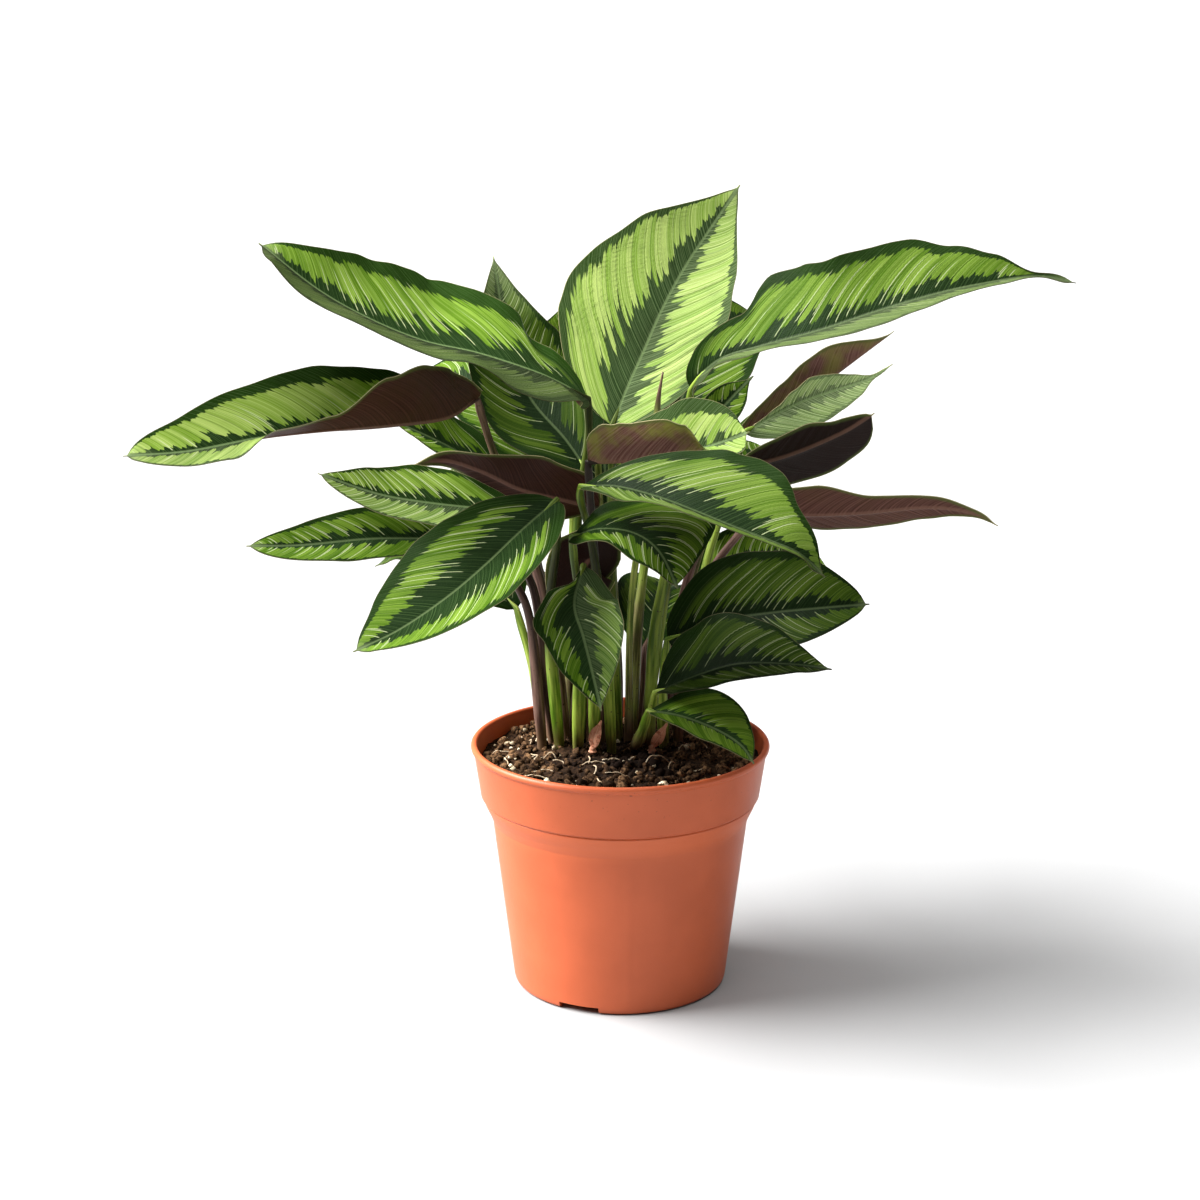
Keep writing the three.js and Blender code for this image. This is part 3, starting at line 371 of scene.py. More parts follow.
class Shader:
    """A material, with short ways to add nodes to it."""

    def __init__(self, name, roughness, specular):
        self.material = bpy.data.materials.new(name)
        self.material.use_nodes = True
        self.tree = self.material.node_tree
        self.surface = self.tree.nodes["Principled BSDF"]
        self.surface.inputs["Roughness"].default_value = roughness
        self.surface.inputs["Specular IOR Level"].default_value = specular

    def feed(self, socket, value):
        if isinstance(value, bpy.types.NodeSocket):
            self.tree.links.new(value, socket)
        else:
            socket.default_value = value

    def add(self, kind, *values, **settings):
        """A node whose first inputs take the values."""
        node = self.tree.nodes.new("ShaderNode" + kind)
        for key, value in settings.items():
            setattr(node, key, value)
        for socket, value in zip(node.inputs, values):
            self.feed(socket, value)
        return node

    def math(self, operation, *values):
        return self.add("Math", *values, operation=operation).outputs[0]

    def sum(self, start, *terms):
        """start plus each term, which is a value and its weight."""
        for value, weight in terms:
            start = self.math("MULTIPLY_ADD", value, weight, start)
        return start

    def times(self, product, *factors):
        for factor in factors:
            product = self.math("MULTIPLY", product, factor)
        return product

    def minus(self, a, b):
        return self.math("SUBTRACT", a, b)

    def scaled(self, place, factors):
        """A place or colour times a number, or times three numbers."""
        return self.add("VectorMath", place, factors, operation="MULTIPLY").outputs[0]

    def here(self):
        """Position on the object in millimetres."""
        return self.scaled(self.add("TexCoord").outputs["Object"], (1 / MM, 1 / MM, 1 / MM))

    def step(self, value, low, high):
        """0 below low, 1 above high, smooth between."""
        node = self.add("MapRange", value, low, high, interpolation_type="SMOOTHSTEP")
        return node.outputs[0]

    def fall(self, value, low, high):
        """1 below low, 0 above high, smooth between."""
        return self.minus(1.0, self.step(value, low, high))

    def mix(self, factor, a, b):
        node = self.add("Mix", factor, data_type="RGBA")
        self.feed(node.inputs[6], a)
        self.feed(node.inputs[7], b)
        return node.outputs[2]

    def coats(self, made, *coats):
        """A colour under coats, each a colour and the factors of its strength."""
        for colour, *factors in coats:
            made = self.mix(self.times(*factors), made, colour)
        return made

    def read(self, name):
        """The three numbers of a mesh attribute."""
        node = self.add("Attribute", attribute_type="GEOMETRY", attribute_name=name)
        return self.add("SeparateXYZ", node.outputs["Vector"]).outputs

    def noise(self, place, scale, detail, line=False):
        """Noise from 0 to 1 in space, or along a line if line is set."""
        node = self.add("TexNoise", noise_dimensions="1D" if line else "3D")
        self.feed(node.inputs["W" if line else "Vector"], place)
        node.inputs["Scale"].default_value = scale
        node.inputs["Detail"].default_value = detail
        return node.outputs["Fac"]

    def veins(self, place, spacing, between=False):
        """Distance in millimetres to the nearest of random points on a line, and three
        random numbers that belong to that point; or the distance to the nearest border
        between two of them."""
        node = self.add("TexVoronoi", voronoi_dimensions="1D")
        self.feed(node.inputs["W"], place)
        node.inputs["Scale"].default_value = 1 / spacing
        if between:
            node.feature = "DISTANCE_TO_EDGE"
            return self.times(node.outputs["Distance"], spacing)
        own = self.add("SeparateColor", node.outputs["Color"]).outputs
        return self.times(node.outputs["Distance"], spacing), own

    def finish(self, colour, height=None, depth=0.0):
        """Sets the colour and bumps of up to depth millimetres; gives the material."""
        self.feed(self.surface.inputs["Base Color"], colour)
        if height is not None:
            node = self.add("Bump")
            node.inputs["Distance"].default_value = depth * MM
            self.feed(node.inputs["Height"], height)
            self.feed(self.surface.inputs["Normal"], node.outputs[0])
        return self.material


# ---- materials ----
def upper_material():
    """The leaf's upper face: feathers of lime between the dark midrib and the dark margin.
    Cream lines start at the feathers' inner ends and run outward some way. Painted sheen
    greys it where it is pale, a painted glow lights the brightest bands, and its light
    factor paints light and shade."""
    s = Shader("leaf_upper", 0.4, 0.02)
    q, t, light = s.read("blade")
    x, edge, share = s.read("span")
    lime, lines, key = s.read("tone")
    shore, heart, pale = s.read("side")
    line = s.sum(q, (key, KEY_SHIFT))
    thread, vein = s.veins(line, FEATHER)
    minor, hair = s.veins(line, HAIR)
    gap = s.veins(line, FEATHER, between=True)
    slow = s.noise(line, 0.05, 1, line=True)
    streak = s.noise(line, 1.1, 3, line=True)
    broad = s.noise(line, 0.22, 1, line=True)
    cloud = s.noise(s.here(), 0.05, 3)

    notch = s.fall(gap, 0.0, 1.3)
    start = s.sum(
        -0.16, (heart, 1.0), (s.times(vein[0], vein[0]), 0.28), (notch, 0.1), (minor, 0.06),
        (slow, 0.2))
    stop = s.sum(
        1.04, (shore, -1.0), (s.times(vein[1], vein[1]), -0.1), (notch, -0.05),
        (minor, -0.035), (slow, -0.08))
    inside = s.minus(t, start)
    outside = s.minus(stop, t)
    band = s.times(
        s.step(inside, 0.0, 0.025), s.step(outside, 0.0, 0.025),
        s.step(edge, 0.5, 1.1), s.step(x, 0.7, 1.3), s.step(share, 0.02, 0.09))
    beyond = s.sum(0.3, (inside, 1.0), (lines, -0.75), (vein[1], -0.3))
    body = s.times(
        s.step(s.sum(inside, (vein[2], 0.26)), 0.06, 0.09), s.step(outside, -0.06, 0.0),
        s.fall(beyond, 0.0, 0.25), s.step(share, 0.02, 0.06), s.step(x, 1.0, 1.6),
        s.step(lines, 0.0, 0.3))
    chosen = s.step(s.sum(vein[2], (lines, 0.25)), 0.6, 0.72)
    cream = s.times(s.fall(thread, 0.1, 0.4), chosen, body, s.step(lime, -0.6, 1.0))
    faint = s.times(
        s.fall(minor, 0.05, 0.3), s.step(hair[0], 0.45, 0.8), band, lime, 0.3)
    furrow = s.times(s.fall(gap, 0.08, 0.5), s.step(hair[1], 0.2, 0.6))

    dark = s.coats(
        s.mix(s.step(t, 0.25, 0.8), rgb(33, 57, 24), rgb(34, 64, 10)),
        # lighter streaks: partly the zone's veins, partly a painted grey sheen
        (rgb(88, 116, 66), s.step(streak, 0.4, 0.75), s.sum(0.1, (lime, 0.45))),
        (rgb(18, 34, 4), s.step(cloud, 0.4, 0.8), 0.5))
    tint = s.step(s.sum(-0.2, (streak, 0.7), (vein[1], 0.35), (broad, 0.3)), 0.2, 0.7)
    limes = s.coats(
        s.mix(tint, rgb(36, 62, 4), rgb(80, 104, 20)),
        (s.mix(tint, rgb(80, 122, 18), rgb(142, 180, 62)), s.step(lime, 0.2, 0.95)),
        # painted glow: light shining through the brightest leaves
        (s.mix(tint, rgb(142, 182, 58), rgb(206, 230, 126)), s.step(lime, 0.95, 1.4)),
        (rgb(66, 104, 16), furrow, 0.55),
        (rgb(70, 108, 18), s.step(cloud, 0.45, 0.75), 0.3))
    # painted sheen: the pale grey-green that a leaf shows at a grazing angle
    painted_sheen = s.mix(s.step(streak, 0.35, 0.65), rgb(98, 116, 74), rgb(170, 184, 138))
    made = s.coats(
        dark, (limes, band), (rgb(190, 214, 122), faint), (rgb(222, 236, 176), cream),
        (painted_sheen, pale, s.sum(0.45, (band, 0.3))),
        (rgb(160, 178, 124), s.step(share, 0.9, 1.0), 0.5),
        (rgb(134, 158, 104), s.fall(x, 0.3, 0.9), 0.55),
        (rgb(142, 136, 98), s.fall(edge, 0.1, 0.35), 0.8))
    grain = s.sum(s.noise(s.here(), 1.6, 3), (streak, 0.6), (furrow, -0.3))
    # painted light and shade: all colours times the leaf's light factor
    return s.finish(s.scaled(made, light), grain, 0.14)


def under_material():
    """The underside: satin maroon with fine side veins, green near the margin; painted lighter
    where the leaf is lit and near black where it is shaded.
    """
    s = Shader("leaf_under", 0.45, 0.08)
    q = s.read("blade")[0]
    x, edge = s.read("span")[:2]
    light, blotch, key = s.read("back")
    streak = s.noise(s.sum(q, (key, KEY_SHIFT)), 0.7, 2, line=True)
    veined = s.step(streak, 0.3, 0.75)
    cloud = s.noise(s.here(), 0.05, 3)
    spots = s.step(s.noise(s.here(), 0.07, 3), 0.42, 0.72)
    made = s.coats(
        s.mix(veined, rgb(58, 33, 24), rgb(84, 52, 42)),
        (rgb(66, 46, 22), s.step(cloud, 0.45, 0.7), 0.5),
        # painted light and shade: a lit maroon, and near black, by the underside's light factor
        (s.mix(veined, rgb(112, 76, 68), rgb(152, 116, 104)), s.step(light, 0.8, 2.2)),
        (rgb(31, 16, 11), s.fall(light, 0.5, 1.0)),
        (rgb(122, 122, 52), blotch, spots),
        (rgb(120, 88, 74), s.fall(x, 0.5, 1.6), 0.6),
        (rgb(78, 92, 42), s.fall(edge, 0.6, 2.6), 0.75),
        (rgb(170, 160, 120), s.fall(edge, 0.15, 0.4)))
    return s.finish(made, s.sum(streak, (s.noise(s.here(), 1.6, 3), 0.6)), 0.15)


def stem_material():
    """Stems: green to mauve, finely streaked along their length, brown at the foot, with
    painted shade where they stand crowded in the middle.
    """
    s = Shader("stem", 0.45, 0.15)
    run, turn, tone = s.read("blade")
    height, key, painted_shade = s.read("span")
    drawn = s.add("CombineXYZ", s.times(run, 0.04), s.times(turn, 2.6), s.times(key, 50.0))
    streak = s.noise(drawn.outputs[0], 1.0, 4)
    fine = s.step(streak, 0.35, 0.65)
    low = s.fall(height, CLEAR_Z + 10, CLEAR_Z + 60)
    aged = s.sum(tone, (s.noise(s.here(), 0.03, 2), 0.9), (s.times(low, key), 0.3))
    made = s.coats(
        s.mix(fine, rgb(76, 106, 22), rgb(146, 168, 66)),
        (s.mix(fine, rgb(66, 44, 38), rgb(124, 96, 84)), s.step(aged, 0.8, 1.2)),
        (rgb(96, 74, 50), s.fall(height, CLEAR_Z, CLEAR_Z + 14), 0.7),
        (rgb(70, 50, 40), s.step(s.noise(s.here(), 0.8, 2), 0.68, 0.74)),
        # painted shade: near black where the stems stand in deep shade
        (rgb(14, 10, 5), painted_shade))
    return s.finish(made, streak, 0.3)


def dry_material():
    """Dry bracts: papery, streaked from base to tip."""
    s = Shader("dry_scale", 0.75, 0.3)
    streak = s.noise(s.read("blade")[1], 14.0, 3, line=True)
    made = s.coats(
        s.mix(s.step(streak, 0.35, 0.7), rgb(196, 122, 92), rgb(232, 184, 150)),
        (rgb(160, 96, 68), s.step(s.noise(s.here(), 0.6, 3), 0.5, 0.7)))
    return s.finish(made, streak, 0.2)


def pot_material():
    """Moulded plastic, a little mottled, with dirt specks round the collar; the flare under
    the collar is lightened with painted light against its shade.
    """
    s = Shader("pot_plastic", 0.45, 0.35)
    place = s.here()
    z = s.add("SeparateXYZ", place).outputs[2]
    cloud = s.step(s.noise(place, 0.03, 3), 0.3, 0.7)
    speck = s.step(s.noise(place, 0.7, 2), 0.715, 0.74)
    made = s.coats(
        s.mix(cloud, rgb(184, 87, 49), rgb(194, 93, 54)),
        # painted light: the flare under the collar is lightened to cancel the shade it lies in
        (rgb(203, 100, 59), s.step(z, COLLAR_Z - 5, COLLAR_Z + 4),
         s.fall(z, COLLAR_Z + 9, COLLAR_Z + 10)),
        (rgb(92, 46, 30), speck, s.step(z, COLLAR_Z + 8, POT_H - 6), 0.6))
    rings = s.noise(s.scaled(place, (1, 1, 8)), 0.25, 2)
    return s.finish(made, s.sum(s.noise(place, 0.5, 4), (rings, 0.3)), 0.05)


def earth_material(name, low, high, roughness):
    """Potting mix, and its crumbs and grains: low and high are its two colours. A third, darker
    one gives some lumps a darker tone and paints shade in front of the stems.
    """
    s = Shader(name, roughness, 0.08)
    place = s.here()
    shade, painted_soil_shade = s.read("grain")[:2]
    # painted shade in front of the stems, and the darker tone of some lumps, share this dark colour
    shade_dark = (*(0.3 * c for c in low[:3]), 1.0)
    made = s.coats(
        low, (high, s.step(s.noise(place, 0.7, 4), 0.35, 0.65)),
        (shade_dark, s.sum(painted_soil_shade, (shade, 0.75))))
    return s.finish(made, s.noise(place, 1.4, 4), 0.4)


# ---- meshes ----
def link(name, data):
    """A new object in the scene."""
    item = bpy.data.objects.new(name, data)
    bpy.context.scene.collection.objects.link(item)
    return item


def add_mesh(name, points, faces):
    """A new mesh object, from points in millimetres."""
    mesh = bpy.data.meshes.new(name)
    mesh.from_pydata((np.asarray(points) * MM).tolist(), [], [tuple(face) for face in faces])
    return link(name, mesh)


def make_object(name, points, faces, materials, attributes, slots=None, node=None):
    """A smooth mesh that rides on the part, with a number of its material for each face. It
    replaces the node, or lies on the soil if it has none."""
    piece = add_mesh(name, points, faces)
    mesh = piece.data
    for material in materials:
        mesh.materials.append(material)
    if slots is not None:
        mesh.polygons.foreach_set("material_index", np.asarray(slots, np.int32))
    mesh.polygons.foreach_set("use_smooth", np.ones(len(mesh.polygons), bool))
    for key, values in attributes.items():
        layer = mesh.attributes.new(key, "FLOAT_VECTOR", "POINT")
        layer.data.foreach_set("vector", np.asarray(values, np.float32).ravel())
    mesh.validate()
    mesh.update()
    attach(piece, "root")
    if node:
        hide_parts(node)
    return piece


def unit(v):
    return v / np.maximum(np.linalg.norm(v, axis=-1, keepdims=True), 1e-9)


def smoothstep(x, low, high):
    x = np.clip((np.asarray(x, float) - low) / (high - low), 0, 1)
    return x * x * (3 - 2 * x)


def around(sides):
    """Even angles of a full turn."""
    return 2 * math.pi * np.arange(sides) / sides


def bell(x, width):
    """A smooth bump that is 1 high at 0."""
    return np.exp(-(x / width) ** 2)


def shifted(faces, start):
    """Faces of points that come after start others."""
    return [tuple(k + start for k in face) for face in faces]


def curve_at(points, share):
    """Points of the smooth curve through points, for shares of its parameter."""
    points = np.asarray(points, float)
    last = len(points) - 1
    spot = last * np.asarray(share, float)
    i = np.clip(np.floor(spot).astype(int), 0, last - 1)
    w = (spot - i)[:, None]
    more = np.vstack([2 * points[0] - points[1], points, 2 * points[-1] - points[-2]])
    p0, p1, p2, p3 = more[i], more[i + 1], more[i + 2], more[i + 3]
    a, b = (p2 - p0) / 2, (p3 - p1) / 2
    return p1 + a * w + (3 * (p2 - p1) - 2 * a - b) * w ** 2 + (2 * (p1 - p2) + a + b) * w ** 3


def along(points, u):
    """Points of that curve at shares u of its length, and the length."""
    share = np.linspace(0, 1, 201)
    line = curve_at(points, share)
    run = np.concatenate([[0], np.cumsum(np.linalg.norm(np.diff(line, axis=0), axis=1))])
    return curve_at(points, np.interp(np.asarray(u) * run[-1], run, share)), run[-1]


def eased(keys, u):
    """Value of evenly spaced keys, or of a single one, at u in 0..1."""
    keys = np.atleast_1d(np.asarray(keys, float))
    if len(keys) == 1:
        return np.full(len(u), keys[0])
    x = np.clip(u, 0, 1) * (len(keys) - 1)
    i = np.clip(np.floor(x).astype(int), 0, len(keys) - 2)
    w = smoothstep(x - i, 0, 1)
    return keys[i] * (1 - w) + keys[i + 1] * w


def half_width(leaf, u):
    """Half width of a blade at shares u of its length."""
    power = math.log(0.5) / math.log(leaf["widest"])
    bulge = np.clip(np.sin(math.pi * np.clip(u, 0, 1) ** power), 0, 1) ** leaf["full"]
    return THREAD_W + leaf["wide"] * bulge * (1 - leaf["drip"] * smoothstep(u, 0.72, 1))


def rib_frame(leaf, u):
    """The midrib's points, its upward normals and right-hand sides, and its length."""
    middle, length = along(leaf["rib"], u)
    ahead, _ = along(leaf["rib"], np.clip(u + 1e-3, 0, 1))
    behind, _ = along(leaf["rib"], np.clip(u - 1e-3, 0, 1))
    forward = unit(ahead - behind)
    turn, rise = (np.radians(eased(keys, u)) for keys in zip(*leaf["looks"]))
    sight = np.stack([np.sin(turn) * np.cos(rise), -np.cos(turn) * np.cos(rise), np.sin(rise)], -1)
    up = unit(sight - (sight * forward).sum(1, keepdims=True) * forward)
    return middle, up, np.cross(forward, up), length


def ripples(q, seed, waves):
    """A sum of waves of the given lengths and heights, with seeded phases."""
    draw = random.Random(seed)
    return sum(h * np.sin(2 * math.pi * (q / length + draw.random())) for length, h in waves)


def blade_grid(leaf, seed):
    """Mid-surface of a blade, rows from base to tip and columns from left to right margin,
    with what its materials read."""
    _, length = along(leaf["rib"], [0.0])
    u = np.linspace(0, 1, max(24, int(length / ROW)) + 1)
    middle, up_way, right, length = rib_frame(leaf, u)
    run = u * length
    width = half_width(leaf, run / (length - min(THREAD, 0.1 * length)))
    width = np.maximum(width, THREAD_W * (2.2 - 1.2 * u ** 40))
    width *= 1 + ripples(run, seed, OUTLINE_WAVES) * np.minimum(1, 6 * u)
    columns = max(10, int(leaf["wide"] / COLUMN))
    rim = np.array(RIM_COLUMNS) / max(leaf["wide"], 4)
    t_half = np.concatenate([np.linspace(0, 1 - 1.6 * rim[0], columns), 1 - rim])
    t_all = np.concatenate([-t_half[:0:-1], t_half])
    open_up = np.minimum(1, width / TIGHTEN_W)
    high, waves, phase = leaf["wave"]
    calm = np.minimum(1, 4 * u) * np.minimum(1, 4 * (1 - u))
    grid = np.zeros((len(u), len(t_all), 3))
    lean, reach = np.zeros((2, len(u), len(t_all)))
    for j, t in enumerate(np.abs(t_all)):
        side = int(t_all[j] >= 0)
        fold, curl = (np.radians(eased(leaf[key][side], u)) * open_up for key in ("fold", "curl"))
        curl = np.where(np.abs(curl) < 1e-4, 1e-4, curl)
        w = width * eased(leaf["half"][side], u)
        bend = fold + curl * t
        out = w * (np.sin(bend) - np.sin(fold)) / curl * (2 * side - 1)
        up = w * (np.cos(fold) - np.cos(bend)) / curl
        q = run - VEIN_LEAN * w * t * (0.6 + 0.5 * t)
        pleats = leaf["pleat"] * ripples(q, seed + 1, PLEAT_WAVES)
        frill = ripples(run, seed + 2 + side, MARGIN_WAVES)
        up += calm * (
            high * t * t * np.sin(2 * math.pi * (waves * u + phase + 0.37 * side))
            + pleats * smoothstep(t, 0.05, 0.3) * (1 - smoothstep(t, 0.8, 1)) + frill * t ** 4)
        grid[:, j] = middle + out[:, None] * right + up[:, None] * up_way
        lean[:, j], reach[:, j] = q, w
    t = np.abs(t_all)[None, :] * np.ones_like(lean)
    left = (t_all < 0)[None, :] & np.ones_like(lean, bool)

    def keyed(name):
        """A look's keys for the left and the right half, over the whole blade."""
        return np.where(left, *(eased(keys, u)[:, None] for keys in leaf[name]))

    share = lean / length + leaf["low"] * (1 - u[:, None]) ** 2
    # the light factor paints light and shade on each part of the blade
    blade = np.stack([lean, t, keyed("light")], -1)
    span = np.stack([reach * t, reach * (1 - t), share], -1)
    return grid, u, blade, span, np.stack([keyed("margin"), keyed("dark"), keyed("pale")], -1)


def blade_mesh(grid, u, t, x):
    """Points and faces of the closed blade: upper and under sheet joined at the rim, with
    the number of a material a face: 0 for the upper sheet and the rim, 1 for the under one."""
    rows, columns = grid.shape[:2]
    normal = unit(np.cross(np.gradient(grid, axis=1), np.gradient(grid, axis=0)))
    u = u[:, None]
    half = THICK / 2 * (1 - 0.55 * t ** 2)
    slender = np.clip(1 - u, 0, 1)
    groove = GROOVE * slender * bell(x, 0.9)
    keel = slender ** 0.8 * bell(x, 1.1) * np.minimum(1, 12 * u)
    upper = grid + normal * (half - groove)[..., None]
    under = grid - normal * (half + keel)[..., None]
    points = np.concatenate([upper.reshape(-1, 3), under.reshape(-1, 3)])
    top = np.arange(rows * columns).reshape(rows, columns)
    low = top + rows * columns
    quads = [
        (top[:-1, :-1], top[:-1, 1:], top[1:, 1:], top[1:, :-1]),
        (low[:-1, :-1], low[1:, :-1], low[1:, 1:], low[:-1, 1:]),
        (low[:-1, 0], top[:-1, 0], top[1:, 0], low[1:, 0]),
        (low[:-1, -1], low[1:, -1], top[1:, -1], top[:-1, -1]),
        (low[0, :-1], low[0, 1:], top[0, 1:], top[0, :-1]),
        (low[-1, :-1], top[-1, :-1], top[-1, 1:], low[-1, 1:]),
    ]
    faces = np.concatenate([np.stack(corners, -1).reshape(-1, 4) for corners in quads])
    slots = np.zeros(len(faces), int)
    sheet = (rows - 1) * (columns - 1)
    slots[sheet:2 * sheet] = 1
    return points, faces, slots


def tube_mesh(centres, radii, sides, shape=None):
    """Points and faces of a closed tube; shape(turn, i) scales its radius round each ring."""
    centres = np.asarray(centres, float)
    ahead = unit(np.gradient(centres, axis=0))
    side = np.array([1.0, 0.0, 0.0])
    turn = around(sides)
    points, faces = [], []
    for i, centre in enumerate(centres):
        side = unit(side - side @ ahead[i] * ahead[i])
        other = np.cross(ahead[i], side)
        r = radii[i] * (shape(turn, i) if shape else 1.0)
        points.append(centre + np.outer(np.cos(turn) * r, side) + np.outer(np.sin(turn) * r, other))
    last = (len(centres) - 1) * sides
    for start in range(0, last, sides):
        for k in range(sides):
            a, b = start + k, start + (k + 1) % sides
            faces.append((a, b, b + sides, a + sides))
    faces.append(tuple(range(sides))[::-1])
    faces.append(tuple(range(last, last + sides)))
    return np.concatenate(points), faces


def tube_reads(points, run, tone, key, painted_shade=0.0):
    """What the stem material reads on a tube: run is how far along it each ring is."""
    sides = len(points) // len(run)
    turn = np.tile(around(sides), len(run))
    blade = np.stack([np.repeat(run, sides), 2 * np.sin(turn / 2), 0 * turn + tone], -1)
    return blade, np.stack([points[:, 2], 0 * turn + key, 0 * turn + painted_shade], -1)


def stem_parts(leaf, radius, seed):
    """A stem from its hole to the blade and a little way under it: points, faces, reads."""
    x, y = leaf["root"]
    route = [[x, y, CLEAR_Z], *leaf["stalk"], leaf["rib"][0]]
    _, length = along(route, [0.0])
    steps = max(8, int(length / STEM_STEP))
    line, _ = along(route, np.linspace(0, 1, steps + 1))
    tail_u, tail_radii = np.transpose(STEM_TAIL)
    middle, up, _, _ = rib_frame(leaf, tail_u)
    hole = [[x, y, ROOT_Z], [x, y, (ROOT_Z + CLEAR_Z) / 2]]
    line = np.vstack([hole, line, middle - up * TAIL_SINK * tail_u[:, None]])
    share = np.clip((np.arange(len(line)) - len(hole)) / steps, 0, 1.0)
    run = np.linalg.norm(np.diff(line, axis=0, prepend=line[:1]), axis=1).cumsum()
    top = run[-1 - len(tail_u)]
    radii = radius + (STEM_TOP_R - radius) * share ** 2
    radii += SHEATH * np.sin(math.pi * np.minimum(1, 2 * share))
    radii += KNEE * bell(run - top + KNEE_AT, KNEE_L)
    radii[-len(tail_u):] = tail_radii
    groove = 1.2 * random.Random(seed).random()

    def section(turn, i):
        notch = bell(np.angle(np.exp(1j * (turn - groove))), 0.5)
        return 1 - 0.2 * notch * (1 - share[i] * 0.5)

    points, faces = tube_mesh(line, radii, STEM_SIDES, section)
    # painted shade: darkest round the shaded middle of the stems, fading out lower down
    away = np.linalg.norm(points[:, :2] - CORE_AT, axis=1)
    painted_shade = 0.92 * np.minimum(1, 1.3 * bell(away, CORE_R))
    painted_shade *= smoothstep(points[:, 2], CORE_LOW, CORE_HIGH)
    return points, faces, *tube_reads(points, run, leaf["stem"], seed % STEM_KINDS / STEM_KINDS, painted_shade)


def add_leaf(leaf, key, seed, stem_seed, radius, materials):
    """A blade and its stem in one mesh; key sets where on the pattern it starts."""
    grid, u, *sheet = blade_grid(leaf, seed)
    points, faces, slots = blade_mesh(grid, u, sheet[0][..., 1], sheet[1][..., 0])
    stem_points, stem_faces, *stem = stem_parts(leaf, radius, stem_seed)
    faces = [*faces, *shifted(stem_faces, len(points))]
    points = np.concatenate([points, stem_points])
    slots = np.concatenate([slots, np.full(len(stem_faces), 2)])
    stem.append(0 * stem[0])
    reads = {
        "tone": np.tile([leaf["lime"], leaf["lines"], key], (len(points), 1)),
        "back": np.tile([leaf["under"], leaf["blotch"], key], (len(points), 1)),
    }
    for name, on_sheet, on_stem in zip(("blade", "span", "side"), sheet, stem):
        reads[name] = np.vstack([*[on_sheet.reshape(-1, 3)] * 2, on_stem])
    slots = np.minimum(slots, len(materials) - 1)
    make_object(leaf["name"] + "_fine", points, faces, materials, reads, slots, leaf["name"])


def add_spear():
    """The rolled new leaf, with the lip of its roll winding up it."""
    x, y = SPEAR["root"]
    line, _ = along([[x, y, CLEAR_Z], *SPEAR["path"]], np.linspace(0, 1, 91))
    line = np.vstack([[[x, y, ROOT_Z]], line])
    radii = eased(SPEAR["radii"], np.linspace(0, 1, len(line)))

    def roll(turn, i):
        return 0.88 + 0.16 * np.mod(turn - i * 0.05, 2 * math.pi) / (2 * math.pi)

    points, faces = tube_mesh(line, radii, 24, roll)
    blade, span = tube_reads(points, 2.0 * np.arange(len(line)), 0.5, 0.4)
    reads = {"blade": blade, "span": span}
    make_object("new_leaf_spear_fine", points, faces, [STEM], reads, node="new_leaf_spear")


def ring(turn, r, z):
    """Points at angles round the axis."""
    return np.stack([r * np.cos(turn), r * np.sin(turn), 0 * turn + z], -1)


def closed(first, rings, last):
    """Points and faces of a solid of rings of points between two end points."""
    sides = len(rings[0])
    end = 1 + (len(rings) - 1) * sides
    faces = []
    for k in range(sides):
        n = (k + 1) % sides
        faces.append((0, 1 + n, 1 + k))
        for a in range(1, end, sides):
            faces.append((a + k, a + n, a + sides + n, a + sides + k))
        faces.append((end + k, end + n, end + sides))
    return np.vstack([first, *rings, last]), faces


# ---- pot ----
def rounded(profile, radius, steps=4):
    """A profile of (r, z) with its inner corners rounded."""
    made = [profile[0]]
    for before, corner, after in zip(profile, profile[1:], profile[2:]):
        before, corner, after = map(np.asarray, (before, corner, after))
        back, on = before - corner, after - corner
        cut = min(radius, np.linalg.norm(back) / 2.2, np.linalg.norm(on) / 2.2)
        start, end = corner + unit(back) * cut, corner + unit(on) * cut
        for w in np.linspace(0, 1, steps + 1):
            made.append(tuple((1 - w) ** 2 * start + 2 * w * (1 - w) * corner + w * w * end))
    return made + [profile[-1]]


def cut(piece, tools):
    """Takes the tools away from the piece, and deletes them."""
    for tool in tools:
        modifier = piece.modifiers.new(tool.name, "BOOLEAN")
        modifier.operation = "DIFFERENCE"
        modifier.solver = "EXACT"
        modifier.object = tool
    graph = bpy.context.evaluated_depsgraph_get()
    mesh = bpy.data.meshes.new_from_object(piece.evaluated_get(graph))
    piece.modifiers.clear()
    piece.data = mesh
    for tool in tools:
        bpy.data.objects.remove(tool)


